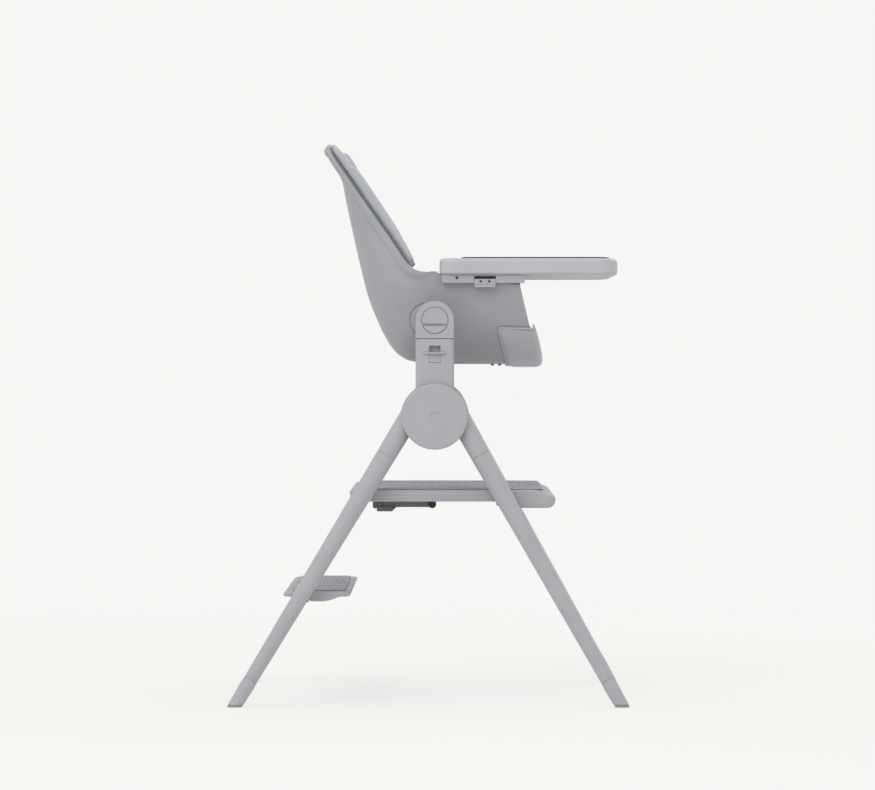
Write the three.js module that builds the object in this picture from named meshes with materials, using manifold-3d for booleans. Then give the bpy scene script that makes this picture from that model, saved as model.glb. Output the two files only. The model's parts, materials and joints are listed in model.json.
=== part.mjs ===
// Baby high chair on an A-frame stand, in millimetres.
// +X is the way the child faces, +Y is the child's left and +Z is up.
// The origin is on the floor, under the middle of the stand.
import * as THREE from 'three';
import { mergeVertices } from 'three/addons/utils/BufferGeometryUtils.js';
import Module from 'manifold-3d';

const wasm = await Module();
wasm.setup();

// ---------------------------------------------------------------- driving dimensions

const fit = 0.3;                 // gap between pieces that touch
const runningFit = 0.5;          // gap between pieces that slide or turn

// Stand
const standHalfWidth = 285;      // centre plane to the outer face of a hub cover
const footSpan = 333;            // origin to the middle of a foot, front and rear
const pivotHeight = 663;         // floor to the recline axis
const columnX = 11;              // post, hub and recline axis
const hubDrop = 165;             // recline axis down to the hub's centre
const apexRise = 72;             // hub's centre up to where the leg axes cross
const footSplay = 13;            // how far a foot stands out from its socket

// Legs and feet
const socketSeamDrop = 66;       // hub's centre down to the end of a socket
const legSeamRadius = 17;
const legFootRadius = 11.4;
const legWall = 2.2;
const spigotStep = 3.6;          // how much thinner a leg is inside its socket
const spigotLength = 44;
const sleeveHeight = 47;
const padHeight = 4.2;

// Hub and post
const coverRadius = 56.5;
const coverThickness = 10.5;
const housingRadius = 58.5;
const housingLowerRadius = 50;
const housingDepth = 35;
const postWidth = 66;
const postDepth = 34;
const postCorner = 9;
const postFootDrop = 45;         // hub's centre down to the end of the post
const headSeamDrop = 31.5;       // recline axis down to the seam between head and post
const postWall = 8;

// Pivot head, buttons and latches
const buttonRadius = 22.5;
const buttonFlat = -6.3;         // where the upper button ends, from the recline axis
const capFlat = -8.8;            // where the lower cap begins
const buttonDepth = 12;
const buttonProud = 1.2;
const buttonTravel = 3.5;
const capDepth = 8;
const axleRadius = 10;
const axleReach = 15.5;
const bossRadius = 30;          // flange on the shell, set back from the recline axis
const bossSetBack = 13.5;
const tongueWidth = 44;
const tongueDepth = 18;
const tongueLength = 72;
const latchWindowWidth = 19;
const latchWindowTop = 12;       // seam down to the top of the window
const latchWindowHeight = 29;
const latchPlateHeight = 17.7;
const latchLedgeWidth = 41;
const latchLedgeHeight = 3;
const latchLedgeReach = 5.5;

// Platform and step
const boardSideGap = 50;         // outer face of the hub covers to the end of a board
const platformRear = -133;
const platformFront = 221;
const platformTop = 371;
const platformThickness = 20;
const platformLip = 31;
const platformLipLength = 93;
const stepRear = -252;
const stepFront = -131;
const stepTop = 196;
const stepThickness = 9;
const stepKeel = 8;
const matThickness = 2.4;
const matMargin = 16;
const bracketWidth = 30;
const bracketLap = 20;           // the least that a bracket laps the end of its board
const bailRodRadius = 6.2;       // cross rod of the release bail
const bailRodX = 6;
const bailDrop = 2.5;             // gap between the platform and the bail
const bailPivotX = -86;
const bailHalfWidth = 120;
const bailArm = 9;
const bailPinRadius = 3.5;

// Seat shell
const seatSideGap = 82;          // outer face of the hub covers to the shell's rim
const shellWall = 5;

// Soft goods
const seatPadThickness = 17;
const backPadThickness = 18;
const headPadThickness = 9;
const bolsterWidth = 26;
const flapThickness = 4;
const strapWidth = 25;
const strapThickness = 2;

// Tray
const trayRear = 8;              // from the recline axis
const trayFront = 317;
const trayBottom = 79.5;         // above the recline axis
const trayThickness = 28.5;
const trayOverhang = 17;          // the shell's rim out to the side of the tray
const trayCorner = 48;
const trayCutoutDepth = 92;
const trayCutoutHalfWidth = 138;
const trayBorder = 28;
const trayWall = 4;
const insertMargin = 18;
const insertDepth = 13;
const insertProud = 1.5;
const insertWall = 4;
const railRear = 12;
const railFront = 155;
const railHeight = 14;
const railThickness = 9;
const tabRear = 68;
const tabFront = 105;
const tabTravel = 4;

// ---------------------------------------------------------------- worked out from them

const hubHeight = pivotHeight - hubDrop;
const apexHeight = hubHeight + apexRise;
const socketSeam = hubHeight - socketSeamDrop;
const coverInnerY = standHalfWidth - coverThickness;
const postOuterY = coverInnerY - fit;
const postInnerY = postOuterY - postDepth;
const legSeamY = postOuterY - legSeamRadius;
const legFootY = legSeamY + footSplay;
const headSeamZ = pivotHeight - headSeamDrop;
const postBottomZ = hubHeight - postFootDrop;
const tongueOuterY = postOuterY - postWall - fit;
const tongueInnerY = tongueOuterY - tongueDepth;
const boardHalfWidth = standHalfWidth - boardSideGap;
const seatHalfWidth = standHalfWidth - seatSideGap;
const trayHalfWidth = seatHalfWidth + trayOverhang;
const bailHeight = platformTop - platformThickness - bailDrop - bailRodRadius;

// ---------------------------------------------------------------- materials

const finishes = {
  shell: { color: 0xa6a7ab, roughness: 0.55, metalness: 0 },
  frame: { color: 0xb2b3b7, roughness: 0.5, metalness: 0 },
  board: { color: 0xa9aaae, roughness: 0.55, metalness: 0 },
  mat: { color: 0x98999d, roughness: 0.85, metalness: 0 },
  tray: { color: 0xbbbdc1, roughness: 0.4, metalness: 0 },
  fabric: { color: 0x9a9ca1, roughness: 0.9, metalness: 0 },
  webbing: { color: 0x55575b, roughness: 0.85, metalness: 0 },
  rubber: { color: 0x77787a, roughness: 0.9, metalness: 0 },
  steel: { color: 0x6a6b6f, roughness: 0.4, metalness: 0.9 },
};

const chair = new THREE.Group();

// Adds a named piece with a finish of its own to a group.
function piece(group, name, geometry, finish) {
  const mesh = new THREE.Mesh(geometry, new THREE.MeshStandardMaterial(finishes[finish]));
  mesh.name = name;
  group.add(mesh);
  return mesh;
}

// ---------------------------------------------------------------- geometry helpers

// Welds a closed geometry, drops flat triangles and turns its faces outward.
function welded(geometry) {
  const bare = geometry.clone();
  bare.deleteAttribute('normal');
  bare.deleteAttribute('uv');
  const merged = mergeVertices(bare, 1e-4);
  const position = merged.attributes.position;
  const corner = [new THREE.Vector3(), new THREE.Vector3(), new THREE.Vector3()];
  const kept = [];
  let volume = 0;
  for (let i = 0; i < merged.index.count; i += 3) {
    const [a, b, c] = [0, 1, 2].map((k) => merged.index.getX(i + k));
    if (a === b || b === c || c === a) continue;
    corner.forEach((point, k) => point.fromBufferAttribute(position, [a, b, c][k]));
    volume += corner[0].dot(corner[1].clone().cross(corner[2]));
    kept.push(a, b, c);
  }
  if (volume < 0) kept.reverse();
  merged.setIndex(kept);
  return merged;
}

function solidOf(geometry) {
  const closed = welded(geometry);
  const vertProperties = new Float32Array(closed.attributes.position.array);
  const triVerts = new Uint32Array(closed.index.array);
  return new wasm.Manifold(new wasm.Mesh({ numProp: 3, vertProperties, triVerts }));
}

function geometryOf(solid) {
  const mesh = solid.getMesh();
  const geometry = new THREE.BufferGeometry();
  geometry.setAttribute('position', new THREE.BufferAttribute(mesh.vertProperties, 3));
  geometry.setIndex(new THREE.BufferAttribute(mesh.triVerts, 1));
  geometry.computeVertexNormals();
  return geometry;
}

function cut(body, ...tools) {
  return geometryOf(tools.reduce((solid, tool) => solid.subtract(solidOf(tool)), solidOf(body)));
}

function join(body, ...others) {
  return geometryOf(others.reduce((solid, other) => solid.add(solidOf(other)), solidOf(body)));
}

// The same shape on the other side of the centre plane.
function mirrored(geometry) {
  const copy = geometry.clone();
  copy.scale(1, -1, 1);
  return welded(copy);
}

// A pair of pieces, left as drawn and right mirrored.
function pair(group, name, geometry, finish) {
  piece(group, `${name}_left`, welded(geometry), finish);
  piece(group, `${name}_right`, mirrored(geometry), finish);
}

function block(x0, x1, y0, y1, z0, z1) {
  const geometry = new THREE.BoxGeometry(x1 - x0, y1 - y0, z1 - z0);
  geometry.translate((x0 + x1) / 2, (y0 + y1) / 2, (z0 + z1) / 2);
  return geometry;
}

// A round bar along Y.
function barAlongY(x, z, radius, y0, y1, sides = 32) {
  const geometry = new THREE.CylinderGeometry(radius, radius, y1 - y0, sides);
  geometry.translate(x, (y0 + y1) / 2, z);
  return geometry;
}

// A closed outline whose corners [a, b, radius] are rounded off.
function outline(corners) {
  const shape = new THREE.Shape();
  corners.forEach(([x, y, radius], i) => {
    const [px, py] = corners[(i + corners.length - 1) % corners.length];
    const [nx, ny] = corners[(i + 1) % corners.length];
    const here = new THREE.Vector2(x, y);
    const back = new THREE.Vector2(px - x, py - y).setLength(radius).add(here);
    const ahead = new THREE.Vector2(nx - x, ny - y).setLength(radius).add(here);
    if (i === 0) shape.moveTo(back.x, back.y);
    else shape.lineTo(back.x, back.y);
    if (radius > 0) shape.quadraticCurveTo(x, y, ahead.x, ahead.y);
  });
  shape.closePath();
  return shape;
}

function rectangle(x0, x1, y0, y1, radius) {
  return outline([[x0, y0, radius], [x1, y0, radius], [x1, y1, radius], [x0, y1, radius]]);
}

// An outline in the XY plane given a thickness from z0 to z1.
function slabAlongZ(shape, z0, z1, bevel = 0, curveSegments = 5) {
  const options = {
    depth: z1 - z0 - 2 * bevel,
    bevelEnabled: bevel > 0,
    bevelSize: bevel,
    bevelThickness: bevel,
    bevelOffset: -bevel,
    bevelSegments: 2,
    curveSegments,
  };
  const geometry = new THREE.ExtrudeGeometry(shape, options);
  geometry.translate(0, 0, z0 + bevel);
  return geometry;
}

// An outline in the XZ plane given a thickness from y0 to y1.
function slabAlongY(shape, y0, y1, bevel = 0, curveSegments = 5) {
  const geometry = slabAlongZ(shape, -y1, -y0, bevel, curveSegments);
  geometry.rotateX(Math.PI / 2);
  return geometry;
}

// A closed skin over rings of equal length, with flat ends.
function loft(rings) {
  const count = rings[0].length;
  const points = rings.flat();
  const index = [];
  for (let i = 0; i + 1 < rings.length; i += 1) {
    for (let j = 0; j < count; j += 1) {
      const k = (j + 1) % count;
      const [a, b] = [i * count + j, i * count + k];
      index.push(a, b, b + count, a, b + count, a + count);
    }
  }
  [0, rings.length - 1].forEach((i) => {
    const middle = points.length;
    const centre = new THREE.Vector3();
    rings[i].forEach((point) => centre.addScaledVector(point, 1 / count));
    points.push(centre);
    for (let j = 0; j < count; j += 1) {
      const k = (j + 1) % count;
      if (i === 0) index.push(middle, i * count + k, i * count + j);
      else index.push(middle, i * count + j, i * count + k);
    }
  });
  const geometry = new THREE.BufferGeometry().setFromPoints(points);
  geometry.setIndex(index);
  return welded(geometry);
}

// ---------------------------------------------------------------- legs and feet

const footPoint = (end) => new THREE.Vector3(end * footSpan, legFootY, 0);

// A leg's axis as a step along it for each millimetre of height; end is +1 front, -1 rear.
function legStep(end) {
  const run = (columnX - end * footSpan) / apexHeight;
  const lean = (legSeamY - legFootY) / socketSeam;
  return new THREE.Vector3(run, lean, 1);
}

function legPoint(end, height) {
  return footPoint(end).addScaledVector(legStep(end), height);
}

function legRadius(height) {
  return legFootRadius + ((legSeamRadius - legFootRadius) * height) / socketSeam;
}

// A round piece on a leg's axis, from a profile of [radius, height] corners.
function turnedOnLeg(end, profile, sides = 20) {
  const step = legStep(end);
  const points = profile.map(([radius, height]) => new THREE.Vector2(radius, height * step.length()));
  const geometry = new THREE.LatheGeometry([...points, points[0].clone()], sides);
  const turn = new THREE.Quaternion().setFromUnitVectors(new THREE.Vector3(0, 1, 0), step.normalize());
  geometry.applyQuaternion(turn);
  const foot = footPoint(end);
  geometry.translate(foot.x, foot.y, foot.z);
  return geometry;
}

// The leg's outer surface over a stretch, grown by a clearance, for cutting what fits round it.
function legCutter(end, z0, z1, clearance) {
  return turnedOnLeg(end, [
    [0, z0], [legRadius(z0) + clearance, z0], [legRadius(z1) + clearance, z1], [0, z1],
  ]);
}

const spigotTopZ = socketSeam + spigotLength * 0.86;
const spigotRadius = legSeamRadius - spigotStep;
const sleeveBoreRadius = legRadius(sleeveHeight) - legWall;
const legEndZ = 16;

function legTube(end) {
  const lower = sleeveBoreRadius - fit;
  return turnedOnLeg(end, [
    [lower, legEndZ],
    [lower, sleeveHeight],
    [legRadius(sleeveHeight), sleeveHeight + fit],
    [legSeamRadius, socketSeam - fit],
    [spigotRadius, socketSeam],
    [spigotRadius, spigotTopZ],
    [spigotRadius - legWall, spigotTopZ],
    [spigotRadius - legWall, socketSeam - 8],
    [lower - legWall, sleeveHeight],
    [lower - legWall, legEndZ],
  ]);
}

function footSleeve(end) {
  const outer = legRadius(sleeveHeight) + 0.6;
  const blank = turnedOnLeg(end, [
    [0, -10],
    [outer - 1.2, -10],
    [outer, sleeveHeight * 0.8],
    [outer - 0.6, sleeveHeight],
    [sleeveBoreRadius, sleeveHeight],
    [sleeveBoreRadius, legEndZ - fit],
    [0, legEndZ - fit],
  ]);
  return cut(blank, belowHeight(end, padHeight + fit));
}

function footPad(end) {
  const radius = legFootRadius - 0.3;
  const blank = turnedOnLeg(end, [[0, -14], [radius, -14], [radius, 18], [0, 18]], 20);
  const above = block(end * footSpan - 60, end * footSpan + 60, legFootY - 60, legFootY + 60, padHeight, 80);
  return cut(blank, belowHeight(end, 0), above);
}

function belowHeight(end, height) {
  return block(end * footSpan - 60, end * footSpan + 60, legFootY - 60, legFootY + 60, height - 60, height);
}

// ---------------------------------------------------------------- hubs and posts

function hubHousing() {
  const shape = new THREE.Shape();
  const dip = 0.2;
  shape.absarc(columnX, hubHeight, housingRadius, -dip, Math.PI + dip, false);
  shape.absarc(columnX, hubHeight, housingLowerRadius, Math.PI + dip, 2 * Math.PI - dip, false);
  const outerY = coverInnerY - fit - 5;
  const plate = slabAlongY(shape, outerY - housingDepth, outerY, 3, 9);
  const sockets = [-1, 1].map((end) => legCutter(end, socketSeam, hubHeight + 8, 0));
  const bores = [-1, 1].map((end) => turnedOnLeg(end, [
    [0, socketSeam - 5],
    [spigotRadius + fit, socketSeam - 5],
    [spigotRadius + fit, spigotTopZ + fit],
    [0, spigotTopZ + fit],
  ]));
  const channel = block(
    columnX - postWidth / 2 - fit, columnX + postWidth / 2 + fit,
    postInnerY - fit, standHalfWidth,
    postBottomZ - fit, hubHeight + housingRadius + 10,
  );
  return cut(join(plate, ...sockets), ...bores, channel);
}

// Outer disc of the hub, slightly domed, with a plain round dimple.
function hubCover() {
  const dimple = 7;
  const points = [
    [0, 0], [coverRadius - 1, 0], [coverRadius, 1.5], [coverRadius, coverThickness - 2.5],
    [coverRadius - 2.5, coverThickness - 0.6], [dimple + 1, coverThickness], [dimple, coverThickness - 0.8],
    [0, coverThickness - 0.8],
  ];
  const geometry = new THREE.LatheGeometry(points.map(([r, y]) => new THREE.Vector2(r, y)), 36);
  geometry.translate(columnX, coverInnerY, hubHeight);
  return geometry;
}

function latchWindow() {
  const top = headSeamZ - latchWindowTop;
  return block(
    columnX - latchWindowWidth / 2, columnX + latchWindowWidth / 2,
    tongueOuterY - 1, standHalfWidth, top - latchWindowHeight, top,
  );
}

function supportPost() {
  const half = postWidth / 2;
  const section = rectangle(columnX - half, columnX + half, postInnerY, postOuterY, postCorner);
  const tube = slabAlongZ(section, postBottomZ, headSeamZ - fit);
  const bore = block(
    columnX - tongueWidth / 2 - fit, columnX + tongueWidth / 2 + fit,
    tongueInnerY - fit, tongueOuterY + fit, postBottomZ - 5, headSeamZ + 5,
  );
  return cut(tube, bore, latchWindow());
}

// Sliding latch in the post's window, with a curved finger ledge.
function seatLatch() {
  const bottom = headSeamZ - latchWindowTop - latchWindowHeight + fit;
  const half = latchWindowWidth / 2 - fit;
  const top = bottom + latchPlateHeight;
  const plate = block(columnX - half, columnX + half, tongueOuterY + fit, postOuterY, bottom, top);
  const neck = block(columnX - half, columnX + half, postOuterY - 1, postOuterY + 2, top - latchLedgeHeight, top);
  const wing = new THREE.Shape();
  const wide = latchLedgeWidth / 2;
  wing.moveTo(columnX - wide, postOuterY + runningFit);
  wing.lineTo(columnX + wide, postOuterY + runningFit);
  wing.quadraticCurveTo(columnX, postOuterY + 2 * latchLedgeReach, columnX - wide, postOuterY + runningFit);
  return join(plate, neck, slabAlongZ(wing, top - latchLedgeHeight, top, 0, 12));
}

// ---------------------------------------------------------------- pivot heads

// The part of the button circle above or below a level, grown by a margin.
function discPart(above, level, margin) {
  const radius = buttonRadius + margin;
  const height = above ? level - margin : level + margin;
  const angle = Math.asin(height / radius);
  const shape = new THREE.Shape();
  if (above) shape.absarc(0, 0, radius, angle, Math.PI - angle, false);
  else shape.absarc(0, 0, radius, Math.PI - angle, 2 * Math.PI + angle, false);
  shape.closePath();
  return shape;
}

function pivotHead() {
  const half = postWidth / 2;
  const shape = new THREE.Shape();
  shape.moveTo(-half, -headSeamDrop);
  shape.lineTo(half, -headSeamDrop);
  shape.lineTo(half, 0);
  shape.absarc(0, 0, half, 0, Math.PI, false);
  shape.closePath();
  const body = slabAlongY(shape, postInnerY, postOuterY, 1.6, 12);
  const tongue = block(
    -tongueWidth / 2, tongueWidth / 2, tongueInnerY, tongueOuterY,
    -headSeamDrop - tongueLength, -headSeamDrop + 6,
  );
  const buttonPocket = slabAlongY(
    discPart(true, buttonFlat, fit), postOuterY - buttonDepth - buttonTravel - fit, standHalfWidth, 0, 11,
  );
  const capPocket = slabAlongY(discPart(false, capFlat, fit), postOuterY - capDepth, standHalfWidth, 0, 8);
  const axleBore = barAlongY(0, 0, axleRadius + fit, postInnerY - 5, postInnerY + axleReach + fit, 20);
  return cut(join(body, tongue), buttonPocket, capPocket, axleBore);
}

function reclineButton() {
  return slabAlongY(
    discPart(true, buttonFlat, 0), postOuterY - buttonDepth, postOuterY + buttonProud, 1, 11,
  );
}

function lowerCap() {
  return slabAlongY(discPart(false, capFlat, 0), postOuterY - capDepth + fit, postOuterY + 0.4, 0.5, 8);
}

// ---------------------------------------------------------------- platform and step

function platformBoard() {
  const under = platformTop - platformThickness;
  const lipStart = platformFront - platformLipLength;
  const shape = outline([
    [platformRear, under, 6], [lipStart - 8, under, 4], [lipStart, platformTop - platformLip, 7],
    [platformFront - 2, platformTop - platformLip, 9], [platformFront, platformTop - 10, 8],
    [platformFront - 28, platformTop, 12], [platformRear + 6, platformTop, 7],
  ]);
  return slabAlongY(shape, -boardHalfWidth, boardHalfWidth, 3, 3);
}

function matOn(rear, front, top) {
  const half = boardHalfWidth - matMargin;
  const shape = rectangle(rear + matMargin, front - matMargin, -half, half, 14);
  return slabAlongZ(shape, top + fit, top + fit + matThickness, 0.8, 4);
}

function stepBoard() {
  const under = stepTop - stepThickness;
  const middle = (stepRear + stepFront) / 2;
  const shape = outline([
    [stepRear + 2, under, 2], [middle - 25, under, 4], [middle - 15, under - stepKeel, 4],
    [middle + 20, under - stepKeel, 6], [middle + 40, under, 6], [stepFront - 6, under, 3],
    [stepFront, stepTop, 4], [stepRear + 12, stepTop, 3], [stepRear, stepTop - 5, 1.8],
  ]);
  return slabAlongY(shape, -boardHalfWidth, boardHalfWidth, 0.8, 2);
}

// A block between a side of a board and the leg beside it, shaped to the leg.
function legBracket(end, rear, front, z0, z1) {
  const middle = legPoint(end, (z0 + z1) / 2);
  const x0 = Math.min(middle.x - bracketWidth / 2, front - bracketLap);
  const x1 = Math.max(middle.x + bracketWidth / 2, rear + bracketLap);
  const shape = rectangle(x0, x1, z0, z1, 3);
  const blank = slabAlongY(shape, boardHalfWidth + fit, middle.y, 0, 3);
  return cut(blank, legCutter(end, z0 - 40, z1 + 40, fit));
}

// U-shaped bail under the platform: a cross rod on two arms.
function releaseBail() {
  const z = bailHeight;
  const rod = barAlongY(bailRodX, z, bailRodRadius, -bailHalfWidth, bailHalfWidth, 16);
  const arms = [-1, 1].map((side) => {
    const y = side * (bailHalfWidth - bailArm);
    const shape = rectangle(bailPivotX - bailRodRadius, bailRodX, z - bailRodRadius + 1, z + bailRodRadius - 1, 3);
    return slabAlongY(shape, y - bailArm / 2, y + bailArm / 2, 0, 3);
  });
  const pin = barAlongY(bailPivotX, z, bailPinRadius, -bailHalfWidth, bailHalfWidth, 12);
  return join(rod, ...arms, pin);
}

// Catch block that hangs under the platform and carries the bail's pin.
function platformCatch() {
  const top = platformTop - platformThickness - fit;
  const shape = outline([
    [bailPivotX - 14, top, 3], [bailPivotX - 14, top - 19, 4], [bailPivotX + 6, top - 19, 4],
    [bailPivotX + 20, top, 7],
  ]);
  const body = slabAlongY(shape, -40, 40, 1, 3);
  return cut(body, barAlongY(bailPivotX, bailHeight, bailPinRadius + runningFit, -60, 60, 16));
}

// ---------------------------------------------------------------- seat shell

// Stations round the bucket, from the top of the back to the front edge of the seat:
// [spine x, spine z, rim x, rim z, share of the half width at the rim, and at the spine].
// Places are measured from the recline axis.
const stations = [
  [-194, 305, -184, 312.5, 0.40, 0.36],
  [-191, 291, -181, 298, 0.58, 0.53],
  [-178, 271, -168.4, 277.7, 0.68, 0.62],
  [-165, 249, -153.8, 256.8, 0.74, 0.66],
  [-159, 217, -136.8, 232.5, 0.79, 0.69],
  [-143, 142, -96.4, 174.6, 0.87, 0.73],
  [-129, 82, -63.6, 127.7, 0.93, 0.77],
  [-117, 37, -40, 93, 0.98, 0.8],
  [-97, -11, -12, 85.5, 1, 0.82],
  [-91, -23, -8, 85, 1, 0.82],
  [-78, -45, 0, 84.4, 1, 0.83],
  [-62, -61, 3, 84, 1, 0.835],
  [-39, -71, 10.5, 79.2, 1, 0.84],
  [19, -75, 60, 74, 1, 0.84],
  [99, -75, 110, 67, 1, 0.84],
  [180, -75, 147, 62, 1, 0.84],
];

// The frame of one station: its spine point, the way to the rim, the depth and the half widths.
function station([px, pz, rx, rz, rimShare, spineShare]) {
  const spine = new THREE.Vector3(px, 0, pz);
  const up = new THREE.Vector3(rx - px, 0, rz - pz);
  const depth = up.length();
  up.normalize();
  return { spine, up, depth, rim: rimShare * seatHalfWidth, floor: spineShare * seatHalfWidth };
}

const frames = stations.map(station);

// Part of the U-shaped line across the bucket, set in from its outer face. A turn of 1 is at
// the left rim, 0 at the spine and -1 at the right rim; a line that ends proud of the left rim
// takes one more point above it.
function bucketLine({ spine, up, depth, rim, floor }, inset, turns = [-1, 1], proud = 0, count = 14) {
  const roundness = 0.62;
  const line = [];
  for (let i = 0; i <= count; i += 1) {
    const angle = (Math.PI / 2) * (turns[0] + ((turns[1] - turns[0]) * i) / count);
    const share = 1 - Math.abs(Math.cos(angle)) ** roundness;
    const wide = (floor + (rim - floor) * share - inset) * Math.sign(Math.sin(angle));
    const height = inset + (depth - inset) * share;
    const y = wide * Math.abs(Math.sin(angle)) ** roundness;
    line.push(spine.clone().addScaledVector(up, height).setY(y));
  }
  if (proud > 0) line.push(line[count].clone().addScaledVector(up, proud));
  return line;
}

function bucketShell() {
  return bucketBand(frames, 0, shellWall);
}

// A band that follows the bucket between two insets.
function bucketBand(rows, outer, inner, turns = [-1, 1], proud = [], count = 14) {
  return loftBand(rows.map((frame, i) => [
    ...bucketLine(frame, outer, turns, proud[i], count),
    ...bucketLine(frame, inner, turns, proud[i], count).reverse(),
  ]));
}

// A closed skin over U-shaped rings: each ring runs out along one line and back along another.
function loftBand(rings) {
  const count = rings[0].length;
  const index = [];
  for (let i = 0; i + 1 < rings.length; i += 1) {
    for (let j = 0; j < count; j += 1) {
      const k = (j + 1) % count;
      const [a, b] = [i * count + j, i * count + k];
      index.push(a, b, b + count, a, b + count, a + count);
    }
  }
  [0, rings.length - 1].forEach((i) => {
    for (let j = 0; j + 1 < count / 2; j += 1) {
      const [a, b] = [i * count + j, i * count + j + 1];
      const [c, d] = [i * count + count - 1 - j, i * count + count - 2 - j];
      if (i === 0) index.push(a, c, b, b, c, d);
      else index.push(a, b, c, b, d, c);
    }
  });
  const geometry = new THREE.BufferGeometry().setFromPoints(rings.flat());
  geometry.setIndex(index);
  return welded(geometry);
}

// The bucket's outer form as a full block, grown by a clearance.
function bucketBlock(clearance) {
  return loft(frames.map((frame) => bucketLine(frame, -clearance)));
}

// Boss that carries a shell side on its pivot head: a round flange, with a stub axle in it.
function pivotBoss() {
  const face = postInnerY - runningFit;
  const boss = barAlongY(-bossSetBack, 0.5, bossRadius, seatHalfWidth * 0.7, face, 32);
  const axle = barAlongY(0, 0, axleRadius, face - 5, postInnerY + axleReach, 20);
  return cut(join(boss, axle), bucketBlock(fit));
}

// ---------------------------------------------------------------- soft goods

const seatFloor = -75 + shellWall;        // inner floor of the bucket, from the recline axis

// A place inside the bucket: how high above the spine it is, on one station's line.
function above(frame, height) {
  return frame.spine.clone().addScaledVector(frame.up, height);
}

const across = (half) => new THREE.Vector3(0, half, 0);

const padSeat = shellWall + 1.2;          // the liner's outer face, set in from the bucket's
const padFace = padSeat + backPadThickness;

function backPad() {
  return bucketBand(frames.slice(1, 9), padSeat, padFace, [-0.5, 0.5], [], 8);
}

function headPad() {
  return bucketBand(frames.slice(1, 5), padFace + fit, padFace + headPadThickness, [-0.3, 0.3], [], 6);
}

// Side bolster on the child's left: it stands proud of the rim along the back.
function sideBolster() {
  const proud = [15, 20, 22, 19, 17, 13];
  const seat = padSeat + 2 * fit;
  return bucketBand(frames.slice(2, 8), seat, seat + bolsterWidth, [0.505, 1], proud, 5);
}

function seatPad() {
  return bucketBand(frames.slice(9), padSeat, padSeat + seatPadThickness, [-0.55, 0.55], [], 8);
}

// Padded apron: a cap round the front end of the bucket, open above the seat.
function calfApron() {
  const rear = station([121, -75, 89, 65, 1, 0.84]);
  const middle = station([160, -75, 127, 63, 1, 0.84]);
  const front = station([184, -75, 151, 62, 1, 0.84]);
  const tip = station([192, -75, 146, 62, 0.98, 0.82]);
  const gap = 0.8;
  const wrap = bucketBand([rear, middle, front], -gap, -gap - flapThickness, [-0.73, 0.73], [], 12);
  const panel = loft([front, tip].map((frame) => bucketLine(frame, -gap - 0.5, [-0.6, 0.6], 0, 12)));
  return join(wrap, panel);
}

// ---------------------------------------------------------------- harness

const buckleX = 62;
const buckleZ = seatFloor + seatPadThickness + 8.7;

// A flat strap through a list of places: [point, half width direction, up direction].
function strap(places) {
  return loft(places.map(([point, wide, up]) => {
    const a = wide.clone().multiplyScalar(strapWidth / 2);
    const b = up.clone().multiplyScalar(strapThickness / 2);
    return [[-1, -1], [1, -1], [1, 1], [-1, 1]].map(([i, j]) => (
      point.clone().addScaledVector(a, i).addScaledVector(b, j)
    ));
  }));
}

// Shoulder strap that lies on the back pad and runs to the buckle, on the left.
function shoulderStrap() {
  const y = 48;
  const rest = padFace + 2 * strapThickness;
  const places = [4, 5, 6, 7, 8].map((i) => [
    above(frames[i], rest).setY(y - 3 * (i - 4)), new THREE.Vector3(0, 1, 0), frames[i].up.clone(),
  ]);
  const up = new THREE.Vector3(0, 0, 1);
  const lap = new THREE.Vector3(-20, 30, seatFloor + seatPadThickness + 12);
  places.push([lap, new THREE.Vector3(0.3, 0.95, 0), up]);
  places.push([new THREE.Vector3(buckleX - 21, 18, buckleZ), new THREE.Vector3(0.5, 0.86, 0), up]);
  return strap(places);
}

function crotchStrap() {
  const up = new THREE.Vector3(0, 0, 1);
  const z = seatFloor + 1 + seatPadThickness + 1.6;
  return strap([
    [new THREE.Vector3(buckleX + 70, 0, z), new THREE.Vector3(0, 1, 0), up],
    [new THREE.Vector3(buckleX + 40, 0, z), new THREE.Vector3(0, 1, 0), up],
    [new THREE.Vector3(buckleX + 22.5, 0, buckleZ - 1), new THREE.Vector3(0, 1, 0), up],
  ]);
}

function buckle() {
  const shape = outline([[-20, -22, 9], [20, -16, 9], [20, 16, 9], [-20, 22, 9]]);
  const body = slabAlongZ(shape, buckleZ - 7, buckleZ + 7, 2, 4);
  const pocket = barAlongY(0, 0, 9 + fit, 0, 20, 24);
  pocket.rotateX(Math.PI / 2);
  pocket.translate(0, 0, buckleZ + 1);
  const geometry = cut(body, pocket);
  geometry.translate(buckleX, 0, 0);
  return geometry;
}

function buckleButton() {
  const geometry = new THREE.CylinderGeometry(9, 9, 7, 24);
  geometry.rotateX(Math.PI / 2);
  geometry.translate(buckleX, 0, buckleZ + 1 + fit + 2.5 + 3.5);
  return geometry;
}

// ---------------------------------------------------------------- tray

// Plan of the tray, with the cut-out that goes round the child, set in by a margin.
function trayPlan(margin) {
  const rear = trayRear + margin;
  const front = trayFront - margin;
  const half = trayHalfWidth - margin;
  const cutHalf = trayCutoutHalfWidth + margin;
  const cutX = trayRear + trayCutoutDepth + margin;
  return outline([
    [rear, -half, 22], [front, -half, trayCorner], [front, half, trayCorner], [rear, half, 22],
    [rear, cutHalf, 12], [cutX, cutHalf - 22, 60], [cutX, -cutHalf + 22, 60], [rear, -cutHalf, 12],
  ]);
}

const trayTop = trayBottom + trayThickness;

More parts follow.
